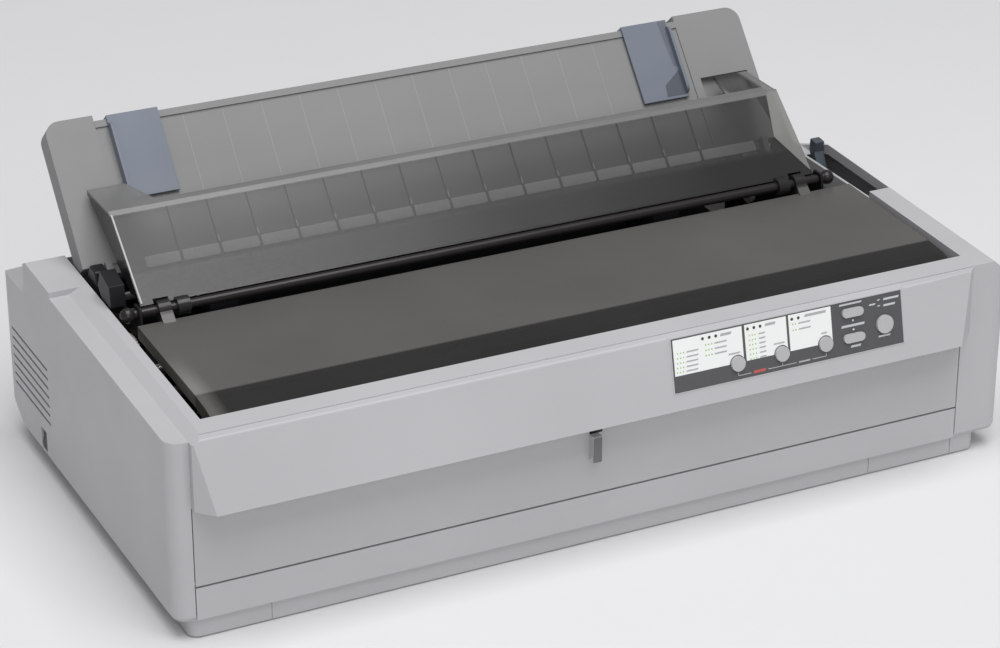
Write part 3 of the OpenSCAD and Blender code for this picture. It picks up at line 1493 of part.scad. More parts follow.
module power_switch() color([0.08, 0.08, 0.08]) {
    translate([-half_w + 5.4, 0, switch_z]) rotate([0, 8, 0])
        along_y(switch_y0 + 0.4, switch_y0 + switch_w - 0.4) {
            circle(3.2);
            polygon([[-4.6, -rocker_r], [-3.8, 0], [-4.6, rocker_r], [2, rocker_r - 1], [2, 1 - rocker_r]]);
        }
    bar_y(switch_y0 - 3, switch_y0 + switch_w + 3, -half_w + wall + 2.4, switch_z, 1.2);
}

// ---------- Output ----------

lower_case();
upper_case();
rubber_feet();
case_screws();
base_plate();
left_frame();
right_frame();
bearings();
guide_rails();
feed_motor();
paper_chute();
carriage_motor();
belt_tensioner();
drive_belt();
cover_rod();
hinge_caps();
control_panel();
indicator_lamps();
switch_board();
main_board();
power_supply();
fan_housing();
data_ports();
ac_inlet();
port_panel();
ribbon_cartridge();
feed_pinion();
platen_core();
platen_rubber();
platen_gear();
platen_knob();
idler_gear();
tractor_shaft();
left_tractor();
right_tractor();
left_gate();
right_gate();
left_sprocket();
right_sprocket();
drive_pulley();
idler_pulley();
carriage();
print_head();
ribbon_knob();
front_smoke_cover();
rear_smoke_cover();
paper_guide();
left_edge_guide();
right_edge_guide();
front_door();
font_button();
pitch_button();
tear_off_button();
load_button();
line_feed_button();
pause_button();
release_lever();
thickness_lever();
power_switch();
fan_rotor();
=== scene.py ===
"""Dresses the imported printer: rounded skins, printed panel, smoked covers and studio stage."""
import json
import math
import bpy
import bmesh
from mathutils import Matrix, Vector

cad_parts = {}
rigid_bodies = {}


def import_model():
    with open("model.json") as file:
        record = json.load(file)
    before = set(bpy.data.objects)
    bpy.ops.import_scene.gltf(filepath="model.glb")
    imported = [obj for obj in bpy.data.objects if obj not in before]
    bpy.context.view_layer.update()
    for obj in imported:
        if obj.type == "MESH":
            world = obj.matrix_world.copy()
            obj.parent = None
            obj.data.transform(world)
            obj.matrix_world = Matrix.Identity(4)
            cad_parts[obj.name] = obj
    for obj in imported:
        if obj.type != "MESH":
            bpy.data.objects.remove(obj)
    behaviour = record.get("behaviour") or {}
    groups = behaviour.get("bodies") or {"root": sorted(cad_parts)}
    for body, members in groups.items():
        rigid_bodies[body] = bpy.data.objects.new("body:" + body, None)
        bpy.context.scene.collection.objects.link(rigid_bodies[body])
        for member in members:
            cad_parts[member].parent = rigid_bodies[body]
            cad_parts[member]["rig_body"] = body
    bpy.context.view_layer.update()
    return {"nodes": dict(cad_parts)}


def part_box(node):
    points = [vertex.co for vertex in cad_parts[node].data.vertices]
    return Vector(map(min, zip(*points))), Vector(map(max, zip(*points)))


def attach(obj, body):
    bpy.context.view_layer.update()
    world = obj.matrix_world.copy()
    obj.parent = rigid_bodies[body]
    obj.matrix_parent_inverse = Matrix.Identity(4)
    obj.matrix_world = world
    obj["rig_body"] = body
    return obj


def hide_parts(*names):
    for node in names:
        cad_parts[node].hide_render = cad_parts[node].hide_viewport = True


bl_info = {
    "name": "Dot Matrix Printer",
    "version": (1, 0, 0),
    "blender": (4, 5, 0),
    "location": "View3D > Sidebar > Printer",
    "description": "Builds the visible pieces and materials of a wide-carriage printer",
    "category": "Object",
}

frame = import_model()
MM = 0.001
FASCIA_LEAN = math.radians(12.73)
GUIDE_LEAN = math.radians(40.4)
COVER_LEAN = math.radians(50.2)
FASCIA = Matrix.Translation((0, -0.1825, 0.0983)) @ Matrix.Rotation(-FASCIA_LEAN, 4, "X")
GUIDE = Matrix.Translation((0, 0.0685, 0.150)) @ Matrix.Rotation(-GUIDE_LEAN, 4, "X")
REAR_COVER = Matrix.Translation((0, 0.0045, 0.158)) @ Matrix.Rotation(-COVER_LEAN, 4, "X")
SETTINGS = "dot_matrix_printer"
PRINT_Y = -0.33
FIELD_Y = -0.295
BUTTON_Z = 24.0
BUTTON_XS = (89.0, 124.0, 159.0)
BUTTON_REACH = 6.1
RIBS = [-7 + (i - 7) * 30.0 for i in range(15)]
FAR_LOW, FAR_HIGH = -10.0, 10.0
BEND_BLUR, LIP_BLUR = 0.0012, 0.0004
COVER_BEND_Z, COVER_LIP_Z = 0.1768, 0.207
NOSE_Y, LUG_Y = -0.1125, -0.0035
CREASE_Y, CREASE_Z = -0.171, 0.1492
CREASE_STEPS = (0.0355, 0.0395, 0.222, 0.226)
POCKET_LEFT, POCKET_RIGHT, POCKET_FRONT = (0.2225, 0.2265), (0.2535, 0.2495), (0.0735, 0.0755)


def settings():
    """The sizes and colours that the panel shows."""
    return getattr(bpy.context.scene, SETTINGS)


# ---------- Materials ----------

def link(tree, source, target):
    tree.links.new(source, target)


def add(tree, kind, place=(0, 0), **values):
    """One shader node with its plain properties set."""
    node = tree.nodes.new(kind)
    node.location = place
    for key, value in values.items():
        setattr(node, key, value)
    return node


def noise(tree, coordinates, scale, detail, place, roughness=0.5):
    node = add(tree, "ShaderNodeTexNoise", place)
    node.inputs["Scale"].default_value = scale
    node.inputs["Detail"].default_value = detail
    node.inputs["Roughness"].default_value = roughness
    link(tree, coordinates, node.inputs["Vector"])
    return node


def spread(tree, source, low, high, place):
    """Maps a texture's middle range to low..high."""
    node = add(tree, "ShaderNodeMapRange", place)
    node.inputs["From Min"].default_value = 0.3
    node.inputs["From Max"].default_value = 0.7
    node.inputs["To Min"].default_value = low
    node.inputs["To Max"].default_value = high
    link(tree, source, node.inputs["Value"])
    return node.outputs["Result"]


def step(tree, source, start, end, place, low=0.0, high=1.0):
    """A value that runs from low to high between two readings of the source."""
    node = add(tree, "ShaderNodeMapRange", place)
    node.inputs["From Min"].default_value = start
    node.inputs["From Max"].default_value = end
    node.inputs["To Min"].default_value = low
    node.inputs["To Max"].default_value = high
    link(tree, source, node.inputs["Value"])
    return node.outputs["Result"]


def mixed(tree, operation, first, second, place, clamp=False):
    """Two values put together by a sum, a difference or a product."""
    node = add(tree, "ShaderNodeMath", place, operation=operation, use_clamp=clamp)
    link(tree, first, node.inputs[0])
    link(tree, second, node.inputs[1])
    return node.outputs["Value"]


def shade(colour, factor):
    return tuple(min(1.0, max(0.0, channel * factor)) for channel in colour[:3]) + (1.0,)


def base_material(name, metallic=0.0, coat=0.0, alpha=1.0, specular=0.5):
    """An empty principled material and the nodes that every finish starts from."""
    material = bpy.data.materials.new(name)
    material.use_nodes = True
    tree = material.node_tree
    shader = tree.nodes["Principled BSDF"]
    shader.inputs["Metallic"].default_value = metallic
    shader.inputs["Coat Weight"].default_value = coat
    shader.inputs["Alpha"].default_value = alpha
    shader.inputs["Specular IOR Level"].default_value = specular
    coordinates = add(tree, "ShaderNodeTexCoord", (-1200, 0)).outputs["Object"]
    return material, tree, shader, coordinates


def mottled(tree, shader, coordinates, colour, scale, amount):
    """Soft colour variation over the whole piece."""
    texture = noise(tree, coordinates, scale, 4.0, (-900, 300))
    ramp = add(tree, "ShaderNodeValToRGB", (-600, 300))
    ramp.color_ramp.elements[0].position = 0.3
    ramp.color_ramp.elements[1].position = 0.7
    ramp.color_ramp.elements[0].color = shade(colour, 1.0 - amount)
    ramp.color_ramp.elements[1].color = shade(colour, 1.0 + amount)
    link(tree, texture.outputs["Fac"], ramp.inputs["Fac"])
    link(tree, ramp.outputs["Color"], shader.inputs["Base Color"])
    return ramp


def grained(tree, shader, coordinates, scale, depth, strength):
    """Fine bump of a moulded or cast surface."""
    texture = noise(tree, coordinates, scale, 3.0, (-900, -300), 0.6)
    bump = add(tree, "ShaderNodeBump", (-400, -300))
    bump.inputs["Strength"].default_value = strength
    bump.inputs["Distance"].default_value = depth
    link(tree, texture.outputs["Fac"], bump.inputs["Height"])
    link(tree, bump.outputs["Normal"], shader.inputs["Normal"])
    return bump


def moulded_plastic(name, colour, rough=0.5, grain=900.0, depth=0.00006, strength=0.35,
                    mottle=0.03, specular=0.4, coat=0.0):
    """Injection moulded plastic with a spark-eroded grain."""
    material, tree, shader, coordinates = base_material(name, coat=coat, specular=specular)
    mottled(tree, shader, coordinates, colour, 9.0, mottle)
    worn = noise(tree, coordinates, 22.0, 5.0, (-900, 0))
    link(tree, spread(tree, worn.outputs["Fac"], rough - 0.05, rough + 0.06, (-600, 0)),
         shader.inputs["Roughness"])
    grained(tree, shader, coordinates, grain, depth, strength)
    return material


def smoked_plastic(name, colour, clearness, rough=0.12, axis="Y", bend=FAR_LOW, low=1.0, clear_low=0.0,
                   hinge=FAR_HIGH, lip=FAR_HIGH, end=FAR_LOW):
    """Tinted clear plastic: painted shade and reflection darken it below the bend, dark behind the hinge
    line, painted sheen at the lip, painted reflection at the left end.
    """
    material, tree, shader, coordinates = base_material(name)
    ramp = mottled(tree, shader, coordinates, colour, 6.0, 0.1)
    axes = add(tree, "ShaderNodeSeparateXYZ", (-1050, 600))
    link(tree, coordinates, axes.inputs["Vector"])
    x, y, z = (axes.outputs[letter] for letter in "XYZ")
    above = step(tree, axes.outputs[axis], bend - BEND_BLUR, bend + BEND_BLUR, (-850, 600))
    # Painted shade and reflection: darker below the bend, for the dark reflection on the front cover's nose
    # and the shade behind the rear cover's lower part
    bend_shade = step(tree, above, 0.0, 1.0, (-600, 600), low, 1.0)
    lugs = step(tree, y, hinge - BEND_BLUR / 2, hinge + BEND_BLUR / 2, (-850, 850), 1.0, 0.2)
    level = mixed(tree, "MULTIPLY", bend_shade, lugs, (-450, 600))
    # The lip along the top gets a painted sheen: paler and less clear, but not over the finger pocket
    lip_on = step(tree, z, lip - LIP_BLUR, lip + LIP_BLUR, (-850, 1100))
    over = mixed(tree, "MULTIPLY", step(tree, x, *POCKET_LEFT, (-850, 1700)),
                 step(tree, x, *POCKET_RIGHT, (-850, 1900)), (-600, 1700))
    over = mixed(tree, "MULTIPLY", over, step(tree, y, *POCKET_FRONT, (-850, 2100)), (-450, 1700))
    off = step(tree, over, 0.0, 1.0, (-300, 1700), 1.0, 0.0)
    lip_on = mixed(tree, "MULTIPLY", lip_on, off, (-150, 1700))
    pale = step(tree, lip_on, 0.0, 1.0, (-650, 1100), 1.0, 3.6)
    level = mixed(tree, "MULTIPLY", level, pale, (-400, 900))
    # Painted reflection: the front corner at the left end is made lighter
    end_reflection = mixed(tree, "MULTIPLY", step(tree, x, end + 0.014, end + 0.004, (-850, 1300)),
                   step(tree, y, -0.055, -0.1, (-850, 1500)), (-600, 1300))
    level = mixed(tree, "ADD", level, end_reflection, (-300, 900))
    tint = add(tree, "ShaderNodeMix", (-350, 400), data_type="RGBA", blend_type="MULTIPLY")
    tint.inputs["Factor"].default_value = 1.0
    link(tree, ramp.outputs["Color"], tint.inputs["A"])
    link(tree, level, tint.inputs["B"])
    link(tree, tint.outputs["Result"], shader.inputs["Base Color"])
    haze = noise(tree, coordinates, 7.0, 5.0, (-900, 0))
    link(tree, spread(tree, haze.outputs["Fac"], rough, rough + 0.08, (-600, 0)),
         shader.inputs["Roughness"])
    clouds = noise(tree, coordinates, 11.0, 3.0, (-900, -120))
    veil = spread(tree, clouds.outputs["Fac"], 0.97 - clearness, 1.03 - clearness, (-600, -120))
    opened = step(tree, above, 0.0, 1.0, (-450, 700), clear_low, 0.0)
    body = mixed(tree, "SUBTRACT", veil, opened, (-300, -120), True)
    solid_lip = step(tree, lip_on, 0.0, 1.0, (-450, 900), 0.0, 0.35)
    link(tree, mixed(tree, "ADD", body, solid_lip, (-200, -120), True), shader.inputs["Alpha"])
    return material


def plain_metal(name, colour, rough=0.3, streak=(40.0, 40.0, 900.0), depth=0.00002, strength=0.2):
    """Rolled, turned or cast metal with fine streaks along one direction."""
    material, tree, shader, coordinates = base_material(name, metallic=1.0)
    mapping = add(tree, "ShaderNodeMapping", (-1050, -150))
    mapping.inputs["Scale"].default_value = streak
    link(tree, coordinates, mapping.inputs["Vector"])
    mottled(tree, shader, coordinates, colour, 30.0, 0.06)
    streaks = noise(tree, mapping.outputs["Vector"], 1.0, 3.0, (-900, 0))
    link(tree, spread(tree, streaks.outputs["Fac"], rough - 0.06, rough + 0.1, (-600, 0)),
         shader.inputs["Roughness"])
    bump = add(tree, "ShaderNodeBump", (-400, -300))
    bump.inputs["Strength"].default_value = strength
    bump.inputs["Distance"].default_value = depth
    link(tree, streaks.outputs["Fac"], bump.inputs["Height"])
    link(tree, bump.outputs["Normal"], shader.inputs["Normal"])
    return material


def rubber(name, colour, rough=0.75):
    """Ground rubber with a dusty bloom."""
    material, tree, shader, coordinates = base_material(name, specular=0.3)
    mottled(tree, shader, coordinates, colour, 25.0, 0.25)
    bloom = noise(tree, coordinates, 60.0, 4.0, (-900, 0))
    link(tree, spread(tree, bloom.outputs["Fac"], rough - 0.08, rough + 0.1, (-600, 0)),
         shader.inputs["Roughness"])
    grained(tree, shader, coordinates, 1400.0, 0.00005, 0.4)
    return material


def printed_film(name, colour, rough=0.35):
    """Printed polyester film with a fine orange-peel surface."""
    return moulded_plastic(name, colour, rough, 500.0, 0.00002, 0.2, 0.025, 0.5)


def circuit_board(name, colour):
    """Solder mask over fine copper tracks."""
    material, tree, shader, coordinates = base_material(name, coat=0.3)
    tracks = add(tree, "ShaderNodeTexBrick", (-900, 300))
    tracks.inputs["Scale"].default_value = 90.0
    tracks.inputs["Mortar Size"].default_value = 0.03
    tracks.inputs["Color1"].default_value = shade(colour, 1.0)
    tracks.inputs["Color2"].default_value = shade(colour, 0.8)
    tracks.inputs["Mortar"].default_value = shade(colour, 1.7)
    link(tree, coordinates, tracks.inputs["Vector"])
    link(tree, tracks.outputs["Color"], shader.inputs["Base Color"])
    worn = noise(tree, coordinates, 50.0, 2.0, (-900, 0))
    link(tree, spread(tree, worn.outputs["Fac"], 0.3, 0.42, (-600, 0)), shader.inputs["Roughness"])
    grained(tree, shader, coordinates, 700.0, 0.00003, 0.2)
    return material


MADE = {}


def finish(name):
    """The material of that finish, made once."""
    if name not in MADE:
        MADE[name] = FINISHES[name]()
    return MADE[name]


FINISHES = {
    "case plastic": lambda: moulded_plastic("case plastic", settings().case_colour, 0.48),
    "door plastic": lambda: moulded_plastic("door plastic", settings().door_colour, 0.5),
    "guide plastic": lambda: moulded_plastic("guide plastic", settings().guide_colour, 0.56,
                                             2200.0, 0.00003, 0.12),
    "edge guide plastic": lambda: moulded_plastic("edge guide plastic", settings().edge_colour, 0.42),
    "front smoke": lambda: smoked_plastic("front smoke", settings().smoke_colour, 0.05, 0.26,
                                          "Y", NOSE_Y, 0.22, 0.2, LUG_Y,
                                          end=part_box("front_smoke_cover")[0][0]),
    "rear smoke": lambda: smoked_plastic("rear smoke", (0.056, 0.056, 0.055, 1), 0.5, 0.2,
                                         "Z", COVER_BEND_Z, 0.38, -0.42, lip=COVER_LIP_Z),
    "smoke edge highlight": lambda: smoked_plastic("smoke edge highlight", (0.55, 0.55, 0.54, 1), 0.25, 0.2),
    "smoke facet sheen": lambda: smoked_plastic("smoke facet sheen", (0.3, 0.3, 0.29, 1), 0.4, 0.3),
    "guide line highlight": lambda: moulded_plastic("guide line highlight", (0.295, 0.295, 0.3, 1), 0.5),
    "guide bend highlight": lambda: moulded_plastic("guide bend highlight", (0.92, 0.92, 0.92, 1), 0.5, 1800.0, 0.00002, 0.1),
    "edge guide side shade": lambda: moulded_plastic("edge guide side shade",
                                               shade(settings().edge_colour, 0.5), 0.45),
    "edge guide strip shade": lambda: moulded_plastic("edge guide strip shade",
                                               shade(settings().edge_colour, 0.72), 0.45),
    "shadow plastic": lambda: moulded_plastic("shadow plastic", (0.16, 0.16, 0.165, 1), 0.5),
    # Painted shade: the side frames get a dark metal tone standing in for the shade inside the case
    "dark frame": lambda: plain_metal("dark frame", (0.05, 0.05, 0.052, 1), 0.5),
    "black plastic": lambda: moulded_plastic("black plastic", (0.012, 0.012, 0.014, 1), 0.35),
    "rod plastic": lambda: moulded_plastic("rod plastic", (0.02, 0.017, 0.017, 1), 0.25),
    "lever plastic": lambda: moulded_plastic("lever plastic", (0.075, 0.09, 0.11, 1), 0.4),
    "button plastic": lambda: moulded_plastic("button plastic", (0.46, 0.46, 0.465, 1), 0.4),
    "tractor plastic": lambda: moulded_plastic("tractor plastic", (0.02, 0.022, 0.025, 1), 0.6, 1800.0,
                                               0.00002, 0.1, specular=0.2),
    "gear plastic": lambda: moulded_plastic("gear plastic", (0.7, 0.69, 0.62, 1), 0.4),
    "ribbon plastic": lambda: moulded_plastic("ribbon plastic", (0.015, 0.015, 0.017, 1), 0.5),
    "foot rubber": lambda: rubber("foot rubber", (0.02, 0.02, 0.02, 1)),
    "platen rubber": lambda: rubber("platen rubber", (0.012, 0.012, 0.012, 1), 0.6),
    "belt rubber": lambda: rubber("belt rubber", (0.012, 0.012, 0.012, 1), 0.8),
    "zinc sheet": lambda: plain_metal("zinc sheet", (0.55, 0.56, 0.57, 1), 0.38),
    "plated steel": lambda: plain_metal("plated steel", (0.6, 0.61, 0.62, 1), 0.32),
    "ground steel": lambda: plain_metal("ground steel", (0.68, 0.69, 0.7, 1), 0.18, (900.0, 40.0, 40.0)),
    "turned aluminium": lambda: plain_metal("turned aluminium", (0.7, 0.7, 0.71, 1), 0.3,
                                            (900.0, 30.0, 30.0)),
    "brass": lambda: plain_metal("brass", (0.72, 0.5, 0.2, 1), 0.28),
    "motor steel": lambda: plain_metal("motor steel", (0.06, 0.06, 0.065, 1), 0.45),
    "cast head": lambda: plain_metal("cast head", (0.05, 0.05, 0.055, 1), 0.55, (300.0, 300.0, 300.0)),
    "panel film": lambda: printed_film("panel film", settings().film_colour),
    "white print": lambda: printed_film("white print", (0.88, 0.89, 0.88, 1), 0.4),
    "green print": lambda: printed_film("green print", (0.3, 0.58, 0.12, 1), 0.4),
    "pale print": lambda: printed_film("pale print", (0.55, 0.56, 0.58, 1), 0.4),
    "grey print": lambda: printed_film("grey print", (0.42, 0.43, 0.44, 1), 0.4),
    "red print": lambda: printed_film("red print", (0.5, 0.1, 0.09, 1), 0.4),
    "dark lens": lambda: moulded_plastic("dark lens", (0.06, 0.07, 0.06, 1), 0.15),
    "circuit board": lambda: circuit_board("circuit board", (0.02, 0.16, 0.07, 1)),
}


# ---------- Mesh helpers ----------

def face_width(face):
    """About how wide a face is across its longest side."""
    longest = max(edge.calc_length() for edge in face.edges)
    return face.calc_area() / longest if longest else 0.0


def soft_layer(mesh_edit):
    """The layer that marks faces of arcs and curved walls."""
    return mesh_edit.faces.layers.int.get("soft") or mesh_edit.faces.layers.int.new("soft")


def new_edit():
    """An empty edit mesh that can mark its curved faces."""
    mesh_edit = bmesh.new()
    soft_layer(mesh_edit)
    return mesh_edit


def mark_curved(mesh_edit):
    """Marks the narrow faces that run round a curved wall."""
    layer = soft_layer(mesh_edit)
    for face in mesh_edit.faces:
        bends = 0
        for edge in face.edges:
            if len(edge.link_faces) == 2 and 0.005 < edge.calc_face_angle(0.0) < 0.53:
                bends += 1
        face[layer] = 1 if bends and face_width(face) < 0.008 else 0


def to_piece(name, mesh_edit, material, body):
    """Turns an edit mesh into a shaded piece that rides on a body."""
    layer = soft_layer(mesh_edit)
    mesh_edit.normal_update()
    for edge in mesh_edit.edges:
        if len(edge.link_faces) != 2:
            edge.smooth = False
            continue
        fold = edge.calc_face_angle(0.0)
        curved = edge.link_faces[0][layer] or edge.link_faces[1][layer]
        edge.smooth = fold < (0.82 if curved else 0.05)
    for face in mesh_edit.faces:
        face.smooth = True
    mesh = bpy.data.meshes.new(name)
    mesh_edit.to_mesh(mesh)
    mesh_edit.free()
    mesh.materials.clear()
    mesh.materials.append(material if isinstance(material, bpy.types.Material) else finish(material))
    piece = bpy.data.objects.new(name, mesh)
    bpy.context.scene.collection.objects.link(piece)
    even = piece.modifiers.new("even shading", "WEIGHTED_NORMAL")
    even.keep_sharp = True
    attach(piece, body)
    return piece


def merged_copy(node):
    """A copy of a CAD node's mesh with its seams merged and its flat faces joined."""
    mesh_edit = new_edit()
    mesh_edit.from_mesh(frame["nodes"][node].data)
    bmesh.ops.remove_doubles(mesh_edit, verts=mesh_edit.verts, dist=0.000002)
    bmesh.ops.dissolve_degenerate(mesh_edit, edges=mesh_edit.edges, dist=0.000002)
    bmesh.ops.dissolve_limit(mesh_edit, angle_limit=math.radians(0.4), verts=mesh_edit.verts,
                             edges=mesh_edit.edges, delimit=set())
    mark_curved(mesh_edit)
    return mesh_edit


def with_borders(faces):
    """The faces with all their edges and corners, to be cut together."""
    return (faces + list({edge for face in faces for edge in face.edges})
            + list({vertex for face in faces for vertex in face.verts}))


def sharp_edges(mesh_edit, angle, wanted=None):
    """Edges that fold by more than the angle, and that the test wants."""
    limit = math.radians(angle)
    return [edge for edge in mesh_edit.edges
            if len(edge.link_faces) == 2 and edge.calc_face_angle(0.0) > limit
            and (wanted is None or wanted(edge))]


def round_edges(mesh_edit, edges, width, segments=2):
    """Rounds the edges with an arc."""
    if not edges:
        return
    made = bmesh.ops.bevel(mesh_edit, geom=edges, offset=width * MM, offset_type="OFFSET",
                           segments=segments, profile=0.5, affect="EDGES", clamp_overlap=True,
                           material=-1, loop_slide=True)
    layer = soft_layer(mesh_edit)
    for face in made["faces"]:
        face[layer] = 1


def round_all(mesh_edit, width, segments=3, angle=30.0, small=0.25):
    """Rounds the long outer edges by the full width, and then the small ones."""
    room = width * MM * 2.3

    def roomy(edge):
        return (edge.calc_length() > room and face_width(edge.link_faces[0]) > room
                and face_width(edge.link_faces[1]) > room)

    round_edges(mesh_edit, sharp_edges(mesh_edit, angle, roomy), width, segments)
    if small:
        round_edges(mesh_edit, sharp_edges(mesh_edit, 47.0), small, 1)


def skin(node, material, width=0.4, segments=3, angle=30.0, small=0.2):
    """A rounded skin over a CAD node, which it replaces."""
    mesh_edit = merged_copy(node)
    round_all(mesh_edit, width, segments, angle, small)
    piece = to_piece(node + "_skin", mesh_edit, material, frame["nodes"][node]["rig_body"])
    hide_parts(node)
    return piece


def joined(*parts):
    """One edit mesh out of several."""
    whole = new_edit()
    for part in parts:
        mesh = bpy.data.meshes.new("part")
        part.to_mesh(mesh)
        part.free()
        whole.from_mesh(mesh)
        bpy.data.meshes.remove(mesh)
    return whole


def turned(profile, place, steps=48):
    """A turned piece: (radius, height) points spun round local Z, in millimetres."""
    mesh_edit = new_edit()
    ring = [mesh_edit.verts.new((r * MM, 0, h * MM)) for r, h in profile]
    edges = [mesh_edit.edges.new(pair) for pair in zip(ring, ring[1:])]
    bmesh.ops.spin(mesh_edit, geom=ring + edges, cent=(0, 0, 0), axis=(0, 0, 1),
                   angle=math.tau, steps=steps, use_merge=True, use_duplicate=False)
    bmesh.ops.remove_doubles(mesh_edit, verts=mesh_edit.verts, dist=0.000001)
    bmesh.ops.recalc_face_normals(mesh_edit, faces=mesh_edit.faces)
    bmesh.ops.transform(mesh_edit, matrix=place, verts=mesh_edit.verts)
    return mesh_edit


def outline(points, depth, place, round_width=0.0, segments=3):
    """A closed (x, z) outline in millimetres, made solid by depth along local Y."""
    mesh_edit = new_edit()
    corners = [mesh_edit.verts.new((x * MM, 0, z * MM)) for x, z in points]
    face = mesh_edit.faces.new(corners)
    grown = bmesh.ops.extrude_face_region(mesh_edit, geom=[face])["geom"]
    moved = [item for item in grown if isinstance(item, bmesh.types.BMVert)]
    bmesh.ops.translate(mesh_edit, verts=moved, vec=(0, depth * MM, 0))
    bmesh.ops.recalc_face_normals(mesh_edit, faces=mesh_edit.faces)
    if round_width:
        along = [edge for edge in mesh_edit.edges
                 if abs(edge.verts[0].co.y - edge.verts[1].co.y) > abs(depth) * MM / 2]
        round_edges(mesh_edit, along, round_width, segments)
    bmesh.ops.transform(mesh_edit, matrix=place, verts=mesh_edit.verts)
    return mesh_edit


def stud(x, z, radius, y0, y1, place, steps=20):
    """A short round stud along local Y, in millimetres."""
    mesh_edit = new_edit()
    bmesh.ops.create_cone(mesh_edit, cap_ends=True, cap_tris=False, segments=steps,
                          radius1=radius * MM, radius2=radius * MM, depth=(y1 - y0) * MM,
                          matrix=Matrix.Translation((x * MM, (y0 + y1) / 2 * MM, z * MM))
                          @ Matrix.Rotation(math.pi / 2, 4, "X"))
    bmesh.ops.recalc_face_normals(mesh_edit, faces=mesh_edit.faces)
    bmesh.ops.transform(mesh_edit, matrix=place, verts=mesh_edit.verts)
    return mesh_edit


def mark(x, z, width, height=1.1, lean=0.35):
    """A short printed dash on the control panel, centred on (x, z)."""
    half, rise = width / 2, height / 2
    return outline([(x - half - lean, z - rise), (x + half - lean, z - rise),
                    (x + half + lean, z + rise), (x - half + lean, z + rise)],
                   -0.05, FASCIA @ Matrix.Translation((0, PRINT_Y * MM, 0)))


def dot(x, z, radius):
    """A small printed dot on the control panel."""
    return stud(x, z, radius, PRINT_Y - 0.05, PRINT_Y, FASCIA, 12)


def field(x0, z0, x1, z1, button_x, reach):
    """A printed field that leaves room for the button at its lower right corner."""
    end = math.acos(min(1.0, (x1 - button_x) / reach))
    arc = [(button_x + reach * math.cos(math.pi - (math.pi - end) * i / 12),
            max(z0, BUTTON_Z + reach * math.sin(math.pi - (math.pi - end) * i / 12))) for i in range(13)]
    return outline([(x0, z0)] + arc + [(x1, z1), (x0, z1)], -0.04,
                   FASCIA @ Matrix.Translation((0, FIELD_Y * MM, 0)))


# ---------- Settings ----------

class PrinterColours(bpy.types.PropertyGroup):
    """Colours of the visible finishes."""

    case_colour: bpy.props.FloatVectorProperty(
        name="Case", description="Colour of the upper and lower case", subtype="COLOR",
        size=4, min=0.0, max=1.0, default=(0.49, 0.49, 0.505, 1.0))
    door_colour: bpy.props.FloatVectorProperty(
        name="Door", description="Colour of the front door", subtype="COLOR",
        size=4, min=0.0, max=1.0, default=(0.46, 0.46, 0.465, 1.0))
    guide_colour: bpy.props.FloatVectorProperty(
        name="Paper guide", description="Colour of the paper guide", subtype="COLOR",
        size=4, min=0.0, max=1.0, default=(0.245, 0.245, 0.246, 1.0))
    edge_colour: bpy.props.FloatVectorProperty(
        name="Edge guides", description="Colour of the two edge guides", subtype="COLOR",
        size=4, min=0.0, max=1.0, default=(0.17, 0.192, 0.236, 1.0))
    smoke_colour: bpy.props.FloatVectorProperty(
        name="Front cover", description="Tint of the front smoked cover", subtype="COLOR",
        size=4, min=0.0, max=1.0, default=(0.108, 0.104, 0.099, 1.0))
    film_colour: bpy.props.FloatVectorProperty(
        name="Panel film", description="Colour of the control panel's film", subtype="COLOR",
        size=4, min=0.0, max=1.0, default=(0.085, 0.086, 0.09, 1.0))
    edge_round: bpy.props.FloatProperty(
        name="Edge rounding", description="Radius of the case's outer edges in millimetres",
        default=1.4, min=0.3, max=2.5)


# ---------- Operators ----------

